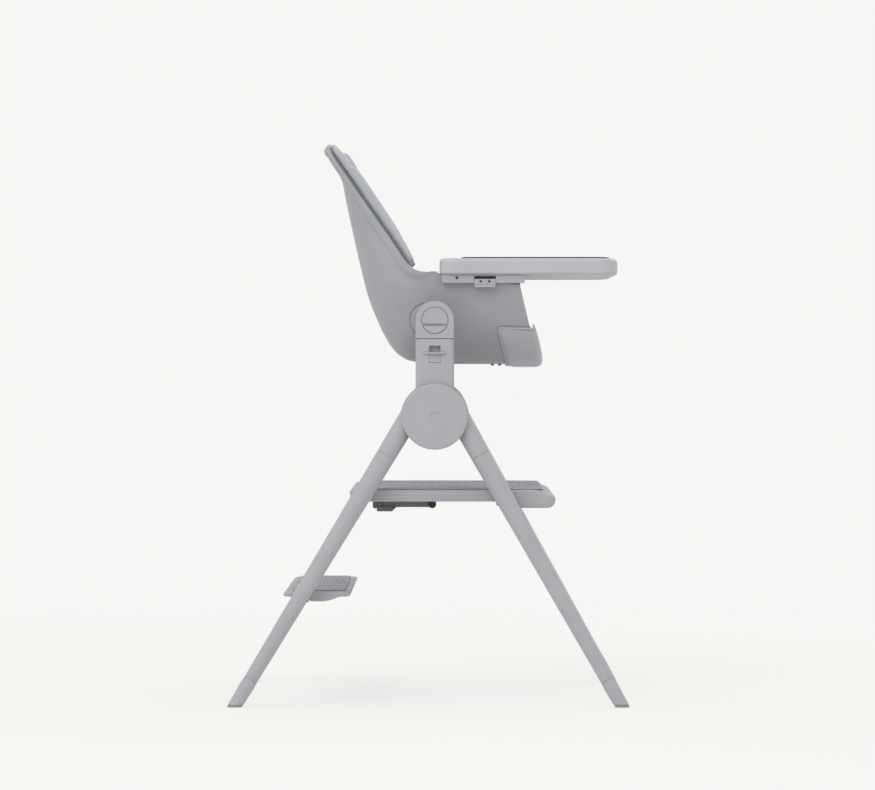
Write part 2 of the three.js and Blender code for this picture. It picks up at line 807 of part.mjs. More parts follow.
// The insert's plan starts further forward than the tray's own.
function insertPlan(margin) {
  const inset = insertMargin + margin;
  const half = trayHalfWidth - inset;
  const cutHalf = trayCutoutHalfWidth + inset;
  const cutX = trayRear + trayCutoutDepth + inset;
  const rear = trayRear + 24 + inset;
  return outline([
    [rear, -half, 16], [trayFront - inset, -half, trayCorner - insertMargin],
    [trayFront - inset, half, trayCorner - insertMargin], [rear, half, 16],
    [rear, cutHalf, 10], [cutX, cutHalf - 26, 50], [cutX, -cutHalf + 26, 50], [rear, -cutHalf, 10],
  ]);
}

// Tray with a recess for the insert on top and a hollow underneath.
function trayBase() {
  const body = slabAlongZ(trayPlan(0), trayBottom, trayTop, 4, 6);
  const recess = slabAlongZ(insertPlan(-fit), trayTop - insertDepth, trayTop + 10, 0, 6);
  const half = trayHalfWidth - trayBorder;
  const plan = rectangle(trayRear + trayCutoutDepth + 16, trayFront - trayBorder, -half, half, 30);
  const hollow = slabAlongZ(plan, trayBottom - 5, trayTop - insertDepth - trayWall, 0, 4);
  return cut(body, recess, hollow);
}

function trayInsert() {
  const floor = trayTop - insertDepth + fit;
  const body = slabAlongZ(insertPlan(0), floor, trayTop + insertProud, 0, 6);
  return cut(body, slabAlongZ(insertPlan(insertWall), floor + insertWall, trayTop + 10, 0, 6));
}

const railInnerY = seatHalfWidth + 1.2;
const railTop = trayBottom - fit;

// Rail under a tray arm: it hooks along the outside of the armrest and holds the release tab.
function trayRail() {
  const bar = slabAlongY(rectangle(railRear, railFront, railTop - railHeight, railTop, 1.5),
    railInnerY, railInnerY + railThickness, 0, 2);
  const window = block(
    tabRear - runningFit, tabFront + runningFit, railInnerY + 3, railInnerY + 40,
    railTop - railHeight - 5, railTop - 2,
  );
  return cut(bar, window);
}

function trayTab() {
  const top = railTop - 2 - tabTravel - 1;
  const inner = railInnerY + 3 + fit;
  const plate = block(tabRear, tabFront, inner, railInnerY + railThickness, top - 13, top);
  const lip = block(tabRear + 1, tabFront - 1, inner, railInnerY + railThickness + 2.5, top - 14.5, top - 10);
  return join(plate, lip);
}

// ---------------------------------------------------------------- assembly

function buildStand() {
  const stand = new THREE.Group();
  const ends = [['front', 1], ['rear', -1]];
  ends.forEach(([word, end]) => {
    pair(stand, `leg_${word}`, legTube(end), 'frame');
    pair(stand, `foot_sleeve_${word}`, footSleeve(end), 'frame');
    pair(stand, `foot_pad_${word}`, footPad(end), 'rubber');
    const bracketTop = platformTop - 2;
    const bracketLow = platformTop - platformThickness - (end > 0 ? 6 : 0);
    pair(stand, `platform_bracket_${word}`, legBracket(end, platformRear, platformFront, bracketLow, bracketTop), 'board');
  });
  pair(stand, 'step_bracket', legBracket(-1, stepRear, stepFront, stepTop - stepThickness - stepKeel, stepTop - 2), 'board');
  pair(stand, 'hub_housing', hubHousing(), 'frame');
  pair(stand, 'hub_cover', hubCover(), 'frame');
  pair(stand, 'support_post', supportPost(), 'frame');
  pair(stand, 'seat_latch', seatLatch(), 'frame');
  piece(stand, 'step_board', stepBoard(), 'board');
  piece(stand, 'step_mat', matOn(stepRear + 2, stepFront + 2, stepTop), 'mat');
  piece(stand, 'platform_board', platformBoard(), 'board');
  piece(stand, 'platform_mat', matOn(platformRear, platformFront - 12, platformTop), 'mat');
  piece(stand, 'release_bail', releaseBail(), 'steel');
  piece(stand, 'platform_catch', platformCatch(), 'steel');
  return stand;
}

function buildHeads() {
  const heads = new THREE.Group();
  pair(heads, 'pivot_head', pivotHead(), 'frame');
  pair(heads, 'recline_button', reclineButton(), 'frame');
  pair(heads, 'pivot_cap', lowerCap(), 'frame');
  return heads;
}

function buildSeat() {
  const seat = new THREE.Group();
  piece(seat, 'seat_shell', bucketShell(), 'shell');
  pair(seat, 'pivot_boss', pivotBoss(), 'shell');
  piece(seat, 'back_pad', backPad(), 'fabric');
  piece(seat, 'head_pad', headPad(), 'fabric');
  pair(seat, 'side_bolster', sideBolster(), 'fabric');
  piece(seat, 'seat_pad', seatPad(), 'fabric');
  piece(seat, 'calf_apron', calfApron(), 'fabric');
  pair(seat, 'shoulder_strap', shoulderStrap(), 'webbing');
  piece(seat, 'crotch_strap', crotchStrap(), 'webbing');
  piece(seat, 'buckle', buckle(), 'webbing');
  piece(seat, 'buckle_button', buckleButton(), 'webbing');
  return seat;
}

function buildTray() {
  const tray = new THREE.Group();
  piece(tray, 'tray_base', trayBase(), 'tray');
  piece(tray, 'tray_insert', trayInsert(), 'tray');
  pair(tray, 'tray_rail', trayRail(), 'frame');
  pair(tray, 'tray_tab', trayTab(), 'frame');
  return tray;
}

chair.add(buildStand());
[buildHeads(), buildSeat(), buildTray()].forEach((group) => {
  group.position.set(columnX, 0, pivotHeight);
  chair.add(group);
});

export default chair;
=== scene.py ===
# %% [markdown]
# # A baby high chair, dressed for its picture
#
# The chair stands on four splayed legs. Two round hubs join the legs to a pair of posts, and the
# posts carry a bucket seat with a padded liner, a sliding tray and a harness. The shapes that
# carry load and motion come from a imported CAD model. This lesson keeps those, rebuilds the ones
# that deserve a smoother skin, sews the soft goods, and gives every piece a finish.

# %% Load the frame
import json
import math

import bmesh
import bpy
import numpy as np
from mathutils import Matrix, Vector
from mathutils.kdtree import KDTree


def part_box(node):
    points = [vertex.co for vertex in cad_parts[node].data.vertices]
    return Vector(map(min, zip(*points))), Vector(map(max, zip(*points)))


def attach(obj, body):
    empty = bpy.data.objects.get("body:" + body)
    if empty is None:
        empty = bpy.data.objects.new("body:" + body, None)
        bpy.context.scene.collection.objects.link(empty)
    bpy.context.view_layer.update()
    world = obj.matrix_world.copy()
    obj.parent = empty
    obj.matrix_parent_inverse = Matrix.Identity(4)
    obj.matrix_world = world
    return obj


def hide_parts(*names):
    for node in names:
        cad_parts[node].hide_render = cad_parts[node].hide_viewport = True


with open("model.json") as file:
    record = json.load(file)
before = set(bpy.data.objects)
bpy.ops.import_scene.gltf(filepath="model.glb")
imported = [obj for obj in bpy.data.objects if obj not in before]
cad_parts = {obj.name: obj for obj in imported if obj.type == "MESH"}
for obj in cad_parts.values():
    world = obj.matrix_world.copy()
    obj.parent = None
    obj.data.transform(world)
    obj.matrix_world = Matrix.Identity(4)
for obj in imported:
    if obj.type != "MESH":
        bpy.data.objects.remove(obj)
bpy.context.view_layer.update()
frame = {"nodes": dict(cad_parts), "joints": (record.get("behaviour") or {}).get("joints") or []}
nodes = frame["nodes"]
MM = 0.001

# %% [markdown]
# ## Where things are
#
# Most sizes below are in millimetres from the recline axis, the line through both pivot heads
# that the seat turns on. Reading it from the joint keeps this script in step with the CAD model.

# %% Find the recline axis
joints = {j["name"]: j for j in frame["joints"]}
AXIS = np.array(joints["seat_recline"]["pos_m"], float)
FLOOR = np.zeros(3)
print("recline axis at", AXIS.round(4), "metres")

# %% [markdown]
# ## Camera
#
# The chair is seen straight from its right side, a little below the middle of its height and
# from about seven metres away. A long lens keeps both sides of the chair nearly on top of
# each other, which is why the far legs hide behind the near ones.

# %% Camera
scene = bpy.context.scene
camera = bpy.data.objects.new("camera", bpy.data.cameras.new("camera"))
scene.collection.objects.link(camera)
camera.location = (0.037, -6.870, 0.595)
camera.data.lens = 158.5
camera.data.sensor_width = 36
sight = Vector((-0.00324, 1.0, -0.00908))
camera.rotation_mode = "QUATERNION"
camera.rotation_quaternion = sight.to_track_quat("-Z", "Y")
camera.data.clip_end = 100
scene.camera = camera
scene.view_settings.view_transform = "Standard"
print("camera", camera.data.lens, "mm lens at", tuple(round(v, 3) for v in camera.location))

# %% [markdown]
# ## Studio light
#
# A pale room gives even light from everywhere, as a photographer's light tent does. The sky of
# that room is a world shader: bright overhead, pale at eye level and dimmer below, so undersides
# fall into a gentle shade. One big soft panel above the camera shapes the tubes, and a second
# behind the chair lifts the edges.

# %% World and lights
PAPER = (0.930, 0.922, 0.905)
world = bpy.data.worlds.new("light_tent")
scene.world = world
world.use_nodes = True
sky, links = world.node_tree.nodes, world.node_tree.links
sky.clear()
out = sky.new("ShaderNodeOutputWorld")
backdrop = sky.new("ShaderNodeBackground")
ramp = sky.new("ShaderNodeValToRGB")
height = sky.new("ShaderNodeSeparateXYZ")
where = sky.new("ShaderNodeTexCoord")
spread = sky.new("ShaderNodeMapRange")
spread.inputs["From Min"].default_value, spread.inputs["From Max"].default_value = -1, 1
links.new(where.outputs["Generated"], height.inputs[0])
links.new(height.outputs["Z"], spread.inputs["Value"])
links.new(spread.outputs[0], ramp.inputs["Fac"])
links.new(ramp.outputs["Color"], backdrop.inputs["Color"])
links.new(backdrop.outputs[0], out.inputs["Surface"])
stops = ramp.color_ramp.elements
for place, level in ((0.0, 0.42), (0.30, 0.66), (0.44, 1.0), (0.56, 1.0), (0.75, 0.95), (1.0, 1.05)):
    stop = stops.new(place) if 0 < place < 1 else stops[0 if place == 0 else -1]
    stop.position = place
    stop.color = (*[c * level for c in PAPER], 1)


def panel(name, place, target, size, power):
    """A square soft light that faces a point."""
    lamp = bpy.data.lights.new(name, "AREA")
    lamp.size, lamp.energy = size, power
    light = bpy.data.objects.new(name, lamp)
    scene.collection.objects.link(light)
    light.location = place
    light.rotation_euler = (Vector(target) - Vector(place)).to_track_quat("-Z", "Y").to_euler()


panel("key_panel", (-1.3, -2.6, 3.0), (0, 0, 0.5), 2.2, 42)
panel("edge_panel", (1.8, 2.4, 2.4), (0, 0, 0.5), 2.0, 20)

# %% [markdown]
# ## Floor
#
# The floor is one plain pale disc. Towards its edge it turns clear, so no horizon line shows:
# a shader mixes the paper finish with a transparent one by distance from the middle. The paper
# glows a little of its own light, so the chair's shadow on it stays as faint as in a light tent.

# %% Floor
disc = bmesh.new()
bmesh.ops.create_circle(disc, cap_ends=True, radius=6.5, segments=96)
floor_mesh = bpy.data.meshes.new("floor")
disc.to_mesh(floor_mesh)
disc.free()
floor = bpy.data.objects.new("floor", floor_mesh)
scene.collection.objects.link(floor)
floor.location.z = -0.0002
paper = bpy.data.materials.new("floor_paper")
paper.use_nodes = True
tree = paper.node_tree
shader = tree.nodes["Principled BSDF"]
shader.inputs["Base Color"].default_value = (0.80, 0.793, 0.778, 1)
shader.inputs["Roughness"].default_value = 0.9
shader.inputs["Specular IOR Level"].default_value = 0.0
clear = tree.nodes.new("ShaderNodeBsdfTransparent")
mix = tree.nodes.new("ShaderNodeMixShader")
spot = tree.nodes.new("ShaderNodeTexCoord")
length = tree.nodes.new("ShaderNodeVectorMath")
length.operation = "LENGTH"
fade = tree.nodes.new("ShaderNodeMapRange")
fade.interpolation_type = "SMOOTHSTEP"
fade.inputs["From Min"].default_value, fade.inputs["From Max"].default_value = 0.7, 2.6
even = tree.nodes.new("ShaderNodeEmission")
even.inputs["Color"].default_value = (*PAPER, 1)
lit = tree.nodes.new("ShaderNodeMixShader")
lit.inputs[0].default_value = 0.72
tree.links.new(shader.outputs[0], lit.inputs[1])
tree.links.new(even.outputs[0], lit.inputs[2])
tree.links.new(spot.outputs["Object"], length.inputs[0])
tree.links.new(length.outputs["Value"], fade.inputs["Value"])
tree.links.new(fade.outputs[0], mix.inputs[0])
tree.links.new(lit.outputs[0], mix.inputs[1])
tree.links.new(clear.outputs[0], mix.inputs[2])
tree.links.new(mix.outputs[0], tree.nodes["Material Output"].inputs["Surface"])
floor_mesh.materials.append(paper)
print("floor radius 6.5 m")

# %% [markdown]
# ## Finishes: moulded plastic
#
# Most of the chair is one family of satin grey plastic. A mould leaves two marks that the eye
# reads as plastic: a fine spark-eroded grain and a faint cloudiness in the colour. Noise gives
# both. Edges are a touch rounder, and their colour is painted paler, a painted highlight where
# light catches them. For the edges, the Bevel shader node rounds the normal, and how far it
# turns the normal shows where an edge is, and so where the painted highlight goes.

# %% Helpers for finishes
def new_finish(name):
    """A material with its nodes and its shader."""
    finish = bpy.data.materials.new(name)
    finish.use_nodes = True
    return finish, finish.node_tree, finish.node_tree.nodes["Principled BSDF"]


def add(tree, kind, **sockets):
    """A node with some of its sockets set."""
    node = tree.nodes.new(kind)
    for socket, value in sockets.items():
        node.inputs[socket.replace("_", " ")].default_value = value
    return node


def noise(tree, size_mm, detail=2.0, stretch=(1, 1, 1)):
    """Cloudy noise in the piece's own space, with blobs of about that size."""
    place = tree.nodes.new("ShaderNodeTexCoord")
    scale = tree.nodes.new("ShaderNodeMapping")
    scale.inputs["Scale"].default_value = [s / (size_mm * MM) for s in stretch]
    cloud = add(tree, "ShaderNodeTexNoise", Scale=1.0, Detail=detail)
    tree.links.new(place.outputs["Object"], scale.inputs["Vector"])
    tree.links.new(scale.outputs[0], cloud.inputs["Vector"])
    return cloud.outputs["Fac"]


def span(tree, value, low, high, start=0.3, end=0.7):
    """Spreads a 0 to 1 value over another range."""
    node = add(tree, "ShaderNodeMapRange", From_Min=start, From_Max=end, To_Min=low, To_Max=high)
    tree.links.new(value, node.inputs["Value"])
    return node.outputs[0]


def shade(colour, amount):
    return (*[min(1.0, c * amount) for c in colour], 1)


def blend_colours(tree, factor, first, second):
    """A colour between two, either of which may be a socket."""
    node = tree.nodes.new("ShaderNodeMix")
    node.data_type = "RGBA"
    tree.links.new(factor, node.inputs["Factor"])
    for socket, value in ((node.inputs[6], first), (node.inputs[7], second)):
        if isinstance(value, bpy.types.NodeSocket):
            tree.links.new(value, socket)
        else:
            socket.default_value = value
    return node.outputs[2]


def bump(tree, height_value, depth_mm, strength=1.0, under=None):
    node = add(tree, "ShaderNodeBump", Distance=depth_mm * MM, Strength=strength)
    tree.links.new(height_value, node.inputs["Height"])
    if under is not None:
        tree.links.new(under, node.inputs["Normal"])
    return node.outputs["Normal"]


def plastic(name, colour, rough, grain_mm=0.7, grain_depth=0.02, cloud=0.03, edge=1.08, soften=0.7):
    """Moulded plastic: cloudy colour, soft edges painted paler as a highlight, uneven gloss and a fine grain."""
    finish, tree, shader = new_finish(name)
    rounded_edge = add(tree, "ShaderNodeBevel", Radius=soften * MM)
    rounded_edge.samples = 4
    face = tree.nodes.new("ShaderNodeNewGeometry")
    turn = tree.nodes.new("ShaderNodeVectorMath")
    turn.operation = "DOT_PRODUCT"
    tree.links.new(rounded_edge.outputs[0], turn.inputs[0])
    tree.links.new(face.outputs["Normal"], turn.inputs[1])
    at_edge = span(tree, turn.outputs["Value"], 1.0, 0.0, 0.80, 0.995)
    clouds = blend_colours(tree, span(tree, noise(tree, 45, 4), 0, 1),
                           shade(colour, 1 - cloud), shade(colour, 1 + cloud))
    # Edges get a paler colour, set by edge: a painted highlight where light catches them.
    edge_highlight = blend_colours(tree, at_edge, clouds, shade(colour, edge))
    tree.links.new(edge_highlight, shader.inputs["Base Color"])
    tree.links.new(span(tree, noise(tree, 12, 3), rough - 0.05, rough + 0.06), shader.inputs["Roughness"])
    grain = bump(tree, noise(tree, grain_mm, 1.5), grain_depth, under=rounded_edge.outputs[0])
    tree.links.new(bump(tree, noise(tree, 30, 1), 0.12, 0.5, grain), shader.inputs["Normal"])
    shader.inputs["IOR"].default_value = 1.46
    shader.inputs["Specular IOR Level"].default_value = 0.4
    return finish


FRAME_GREY = (0.381, 0.387, 0.413)
frame_plastic = plastic("frame_plastic", FRAME_GREY, 0.48)
leg_paint = plastic("leg_paint", (0.378, 0.385, 0.410), 0.38, grain_mm=2.2, grain_depth=0.015)
shell_plastic = plastic("shell_plastic", (0.350, 0.357, 0.385), 0.52, grain_mm=0.8, grain_depth=0.03)
tray_plastic = plastic("tray_plastic", (0.448, 0.459, 0.490), 0.40, grain_mm=0.9, grain_depth=0.015)
board_plastic = plastic("board_plastic", (0.368, 0.375, 0.402), 0.55, grain_mm=1.1, grain_depth=0.06)
# The real black parts, and also the dark pieces that paint shade in joints, gaps and holes.
shade_and_black_plastic = plastic("shade_and_black_plastic", (0.035, 0.035, 0.037), 0.45, grain_depth=0.02)
buckle_plastic = plastic("buckle_plastic", (0.150, 0.152, 0.160), 0.42)
# Its edges are painted much paler than its faces: a painted highlight.
steel_paint = plastic("steel_paint", (0.140, 0.142, 0.150), 0.35, grain_mm=1.6, grain_depth=0.03, edge=1.3)
print("plastics:", [m.name for m in bpy.data.materials if m.name.endswith(("plastic", "paint"))])

# %% [markdown]
# ## Finishes: cloth, webbing and rubber
#
# The liner is a soft coated cloth with a melange of lighter and darker yarn. Two long noises,
# one stretched up and one across, cross like warp and weft, and a bump lifts the threads. Sheen
# puts the pale bloom on its curves. Webbing has ribs whose colour is painted darker in the
# grooves and paler on the crests, as shade and highlight, and rubber is dull with a coarse grain.

# %% Cloth, webbing and rubber
def cloth(name, colour, yarn_mm=1.6, depth=0.05, sheen=0.3, melange=0.06):
    """Woven cloth: crossing threads, a melange of yarns, and sheen."""
    finish, tree, shader = new_finish(name)
    weft = noise(tree, yarn_mm, 2, (0.35, 0.35, 1.4))
    warp = noise(tree, yarn_mm, 2, (1.4, 1.4, 0.35))
    threads = tree.nodes.new("ShaderNodeMath")
    threads.operation = "ADD"
    tree.links.new(weft, threads.inputs[0])
    tree.links.new(warp, threads.inputs[1])
    yarn = span(tree, threads.outputs[0], 0, 1, 0.75, 1.25)
    fine = blend_colours(tree, yarn, shade(colour, 1 - melange), shade(colour, 1 + melange))
    wide = span(tree, noise(tree, 70, 3), 0, 0.5)
    tree.links.new(blend_colours(tree, wide, fine, shade(colour, 1.06)), shader.inputs["Base Color"])
    tree.links.new(span(tree, weft, 0.80, 0.95), shader.inputs["Roughness"])
    tree.links.new(bump(tree, yarn, depth, 0.7), shader.inputs["Normal"])
    shader.inputs["Sheen Weight"].default_value = sheen
    shader.inputs["Sheen Roughness"].default_value = 0.5
    shader.inputs["Specular IOR Level"].default_value = 0.25
    return finish


def ribbed(name, colour, pitch_mm, depth, rough, axis="Z"):
    """Ribs across one direction, with painted shade in their grooves and a painted highlight on their crests, over a
    slight mottle.
    """
    finish, tree, shader = new_finish(name)
    place = tree.nodes.new("ShaderNodeTexCoord")
    ribs = add(tree, "ShaderNodeTexWave", Scale=1.0 / (pitch_mm * MM) / 20 * 2 * math.pi, Distortion=0.6)
    ribs.bands_direction = axis
    tree.links.new(place.outputs["Object"], ribs.inputs["Vector"])
    # The colour follows the rib height: darker in the grooves as painted shade, paler on the crests as painted
    # highlight.
    base = blend_colours(tree, ribs.outputs["Fac"], shade(colour, 0.86), shade(colour, 1.12))
    mottle = span(tree, noise(tree, 4, 3), 0, 0.4)
    tree.links.new(blend_colours(tree, mottle, base, shade(colour, 1.2)), shader.inputs["Base Color"])
    dull = span(tree, ribs.outputs["Fac"], rough + 0.05, rough - 0.05, 0, 1)
    tree.links.new(dull, shader.inputs["Roughness"])
    tree.links.new(bump(tree, ribs.outputs["Fac"], depth), shader.inputs["Normal"])
    shader.inputs["Specular IOR Level"].default_value = 0.3
    return finish


liner_cloth = cloth("liner_cloth", (0.396, 0.412, 0.446))
piping_cloth = cloth("piping_cloth", (0.400, 0.413, 0.442), yarn_mm=1.0, depth=0.04, melange=0.05)
webbing = ribbed("webbing", (0.165, 0.170, 0.180), 2.4, 0.25, 0.8)
stitch_thread = ribbed("stitch_thread", (0.42, 0.43, 0.45), 1.2, 0.1, 0.7, "DIAGONAL")
rubber = plastic("rubber", (0.270, 0.274, 0.285), 0.8, grain_mm=1.2, grain_depth=0.08)
grip_rubber = plastic("grip_rubber", (0.350, 0.357, 0.382), 0.72, grain_mm=1.0, grain_depth=0.06)
print("finishes:", len(bpy.data.materials))

# %% [markdown]
# ## Building blocks
#
# A mesh is a list of points and the faces between them. Nearly every hard piece here is a row of
# closed rings with a skin over them, so one skinning function serves for lofts, lathes, slabs and
# tubes. Outlines have rounded corners, and a slab's edge is rounded by rings that are set in a
# little, as a sander would leave it.

# %% Skins, outlines, slabs and tubes
SIDEWAYS, UPWARD = np.array([0, 1.0, 0]), np.array([0, 0, 1.0])


def ride_piece(name, points, faces, finish, body, slot, replaced=(), place=AXIS, crease=34, weigh=True):
    """Links a mesh in millimetres, with its finish, its body and the nodes it replaces. Its slot is not used."""
    mesh = bpy.data.meshes.new(name)
    mesh.from_pydata((np.array(points) * MM + place).tolist(), [], faces)
    work = bmesh.new()
    work.from_mesh(mesh)
    bmesh.ops.remove_doubles(work, verts=work.verts, dist=1e-6)
    bmesh.ops.recalc_face_normals(work, faces=work.faces)
    work.to_mesh(mesh)
    work.free()
    mesh.polygons.foreach_set("use_smooth", [True] * len(mesh.polygons))
    mesh.set_sharp_from_angle(angle=math.radians(crease))
    mesh.materials.append(finish)
    made = bpy.data.objects.new(name, mesh)
    scene.collection.objects.link(made)
    if weigh:
        made.modifiers.new("even_normals", "WEIGHTED_NORMAL").keep_sharp = True
    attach(made, body)
    if replaced:
        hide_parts(*replaced)
    return made


def skin(rings, start=True, end=True):
    """Faces over closed rings of equal length, with flat ends where asked."""
    count = len(rings[0])
    faces = []
    for i in range(len(rings) - 1):
        for j in range(count):
            k = (j + 1) % count
            faces.append((i * count + j, i * count + k, (i + 1) * count + k, (i + 1) * count + j))
    if start:
        faces.append(tuple(range(count))[::-1])
    if end:
        faces.append(tuple(range((len(rings) - 1) * count, len(rings) * count)))
    return np.concatenate([np.asarray(r, float) for r in rings]), faces


def outline(corners, arc=7, straight=1):
    """A closed outline through corners [a, b, radius]; straight runs are cut into equal steps."""
    points, count = [], len(corners)

    def reach(i, j):
        here, there = np.array(corners[i % count][:2], float), np.array(corners[j % count][:2], float)
        return here + (there - here) / np.linalg.norm(there - here) * corners[i % count][2]

    for i, (a, b, _) in enumerate(corners):
        back, ahead = reach(i, i - 1), reach(i, i + 1)
        for t in np.linspace(0, 1, arc + 1):
            points.append((1 - t) ** 2 * back + 2 * t * (1 - t) * np.array([a, b]) + t * t * ahead)
        for t in np.arange(1, straight) / straight:
            points.append(ahead + (reach(i + 1, i) - ahead) * t)
    ring = np.array(points)
    nxt = np.roll(ring, -1, 0)
    area = (ring[:, 0] * nxt[:, 1] - nxt[:, 0] * ring[:, 1]).sum()
    return ring if area > 0 else ring[::-1]


def rectangle(a0, a1, b0, b1, radius):
    return [[a0, b0, radius], [a1, b0, radius], [a1, b1, radius], [a0, b1, radius]]


def set_in(ring, distance):
    """The outline moved inward by a distance."""
    along = np.roll(ring, -1, 0) - np.roll(ring, 1, 0)
    along /= np.maximum(np.linalg.norm(along, axis=1), 1e-9)[:, None]
    return ring + distance * np.stack([-along[:, 1], along[:, 0]], 1)


def stand_up(ring, level, along):
    """A flat ring at a level: along z it lies in plan, along y it is seen from the side."""
    full = np.full(len(ring), level)
    if along == "z":
        return np.stack([ring[:, 0], ring[:, 1], full], 1)
    return np.stack([ring[:, 0], full, ring[:, 1]], 1)


def slab(ring, low, high, edge=2.0, along="y", steps=4):
    """An outline with a thickness and rounded edges."""
    quarter = [math.pi / 2 * k / steps for k in range(steps + 1)]
    lower = [(edge * (1 - math.sin(a)), low + edge * (1 - math.cos(a))) for a in quarter]
    upper = [(inset, low + high - level) for inset, level in reversed(lower)]
    return skin([stand_up(set_in(ring, inset), level, along) for inset, level in lower + upper])


def smooth_path(points, steps=6):
    """A Catmull-Rom curve through rows of numbers."""
    rows = np.array(points, float)
    rows = np.vstack([2 * rows[0] - rows[1], rows, 2 * rows[-1] - rows[-2]])
    made = []
    for i in range(1, len(rows) - 2):
        p0, p1, p2, p3 = rows[i - 1:i + 3]
        for t in np.arange(steps) / steps:
            made.append(0.5 * (2 * p1 + (p2 - p0) * t + (2 * p0 - 5 * p1 + 4 * p2 - p3) * t * t
                               + (3 * p1 - p0 - 3 * p2 + p3) * t ** 3))
    return np.array(made + [rows[-2]])


def tube(path, radius, sides=8):
    """A round tube along a path, with rounded ends."""
    path = np.array(path, float)
    along = np.gradient(path, axis=0)
    along /= np.linalg.norm(along, axis=1)[:, None]
    side = np.cross(along[0], [0.31, 0.42, 0.85])
    rings = []
    turns = np.linspace(0, 2 * math.pi, sides, endpoint=False)
    for i, (point, way) in enumerate(zip(path, along)):
        side = side - way * side.dot(way)
        side /= np.linalg.norm(side)
        up = np.cross(way, side)
        size = radius * (0.45 if i in (0, len(path) - 1) else 1)
        rings.append([point + size * (math.cos(a) * side + math.sin(a) * up) for a in turns])
    return skin(rings)


def lathe(profile, centre, sides=48):
    """A turned shape from [radius, distance] corners, round a crosswise axis through a centre."""
    way = SIDEWAYS
    side = np.cross(way, [0.1, 0.2, 0.97])
    side /= np.linalg.norm(side)
    up = np.cross(way, side)
    turns = np.linspace(0, 2 * math.pi, sides, endpoint=False)
    spokes = [math.cos(a) * side + math.sin(a) * up for a in turns]
    return skin([[np.array(centre) + way * level + radius * spoke for spoke in spokes]
                 for radius, level in profile])


def several(*shapes):
    """Many shapes as one."""
    points, faces, start = [], [], 0
    for more_points, more_faces in shapes:
        points.append(more_points)
        faces += [tuple(i + start for i in face) for face in more_faces]
        start += len(more_points)
    return np.concatenate(points), faces


def mirrored(shape):
    points, faces = shape
    return np.array(points) * [1, -1, 1], faces


SIDES = (("left", 1), ("right", -1))


def sided(shape, side):
    return shape if side > 0 else mirrored(shape)


def loop(path, radius):
    """A closed tube round a path."""
    return tube(smooth_path(path + path[:1], 2), radius)


def eased(value, low, high):
    """A share that goes smoothly from 0 at low to 1 at high."""
    share = np.clip((np.asarray(value, float) - low) / (high - low), 0, 1)
    return share * share * (3 - 2 * share)


print("helpers ready")

# %% [markdown]
# ## The frame pieces that stay
#
# Hubs, posts, heads, legs, rails and latches are right as the CAD model has them. Only their
# shading needs help: a modifier welds their corners, another smooths every edge that turns less
# than a set angle, and a third keeps the flat faces flat. Their meshes aren't touched.

# %% Shade and finish the carried nodes
def smoothing_nodes(angle):
    """A modifier that shades smooth across edges that turn less than an angle."""
    group = bpy.data.node_groups.new("smooth_by_angle", "GeometryNodeTree")
    group.interface.new_socket("Geometry", in_out="INPUT", socket_type="NodeSocketGeometry")
    group.interface.new_socket("Geometry", in_out="OUTPUT", socket_type="NodeSocketGeometry")
    make = group.nodes.new
    start, end = make("NodeGroupInput"), make("NodeGroupOutput")
    faces, edges = make("GeometryNodeSetShadeSmooth"), make("GeometryNodeSetShadeSmooth")
    edges.domain = "EDGE"
    edges.inputs["Shade Smooth"].default_value = False
    turn, sharp = make("GeometryNodeInputMeshEdgeAngle"), make("FunctionNodeCompare")
    sharp.operation = "GREATER_THAN"
    sharp.inputs[1].default_value = math.radians(angle)
    group.links.new(turn.outputs["Unsigned Angle"], sharp.inputs[0])
    group.links.new(sharp.outputs[0], edges.inputs["Selection"])
    group.links.new(start.outputs[0], faces.inputs["Geometry"])
    group.links.new(faces.outputs[0], edges.inputs["Geometry"])
    group.links.new(edges.outputs[0], end.inputs[0])
    return group


smoothing = smoothing_nodes(33)
KEPT = {
    "hub_housing": frame_plastic, "support_post": frame_plastic, "pivot_head": frame_plastic,
    "recline_button": frame_plastic, "pivot_cap": frame_plastic, "pivot_boss": shell_plastic,
    "seat_latch": frame_plastic, "leg_front": leg_paint, "leg_rear": leg_paint,
    "foot_sleeve_front": frame_plastic, "foot_sleeve_rear": frame_plastic,
    "foot_pad_front": rubber, "foot_pad_rear": rubber, "platform_bracket_front": board_plastic,
    "platform_bracket_rear": board_plastic, "step_bracket": board_plastic, "hub_cover": frame_plastic,
    "tray_rail": frame_plastic, "tray_tab": frame_plastic, "release_bail": steel_paint,
    "platform_catch": steel_paint, "buckle": buckle_plastic, "buckle_button": buckle_plastic,
}


def stem(name):
    return name.removesuffix("_left").removesuffix("_right")


for name, node in nodes.items():
    if stem(name) not in KEPT:
        continue
    node.data.materials.clear()
    node.data.materials.append(KEPT[stem(name)])
    node.modifiers.new("weld", "WELD").merge_threshold = 1e-5
    node.modifiers.new("smooth", "NODES").node_group = smoothing
    node.modifiers.new("even_normals", "WEIGHTED_NORMAL").keep_sharp = True
print("carried nodes:", sum(stem(n) in KEPT for n in nodes))

# %% [markdown]
# ## The bucket
#
# The seat is one moulded bucket. It is drawn as a spine that runs from the top of the back, round
# the hips and out to the front edge, with a U-shaped line across it at each station. A station
# holds the spine's place, the rim's place, and how wide the U is at the rim and at the floor, as
# shares of half the seat's width. Curving between stations gives a smooth skin.

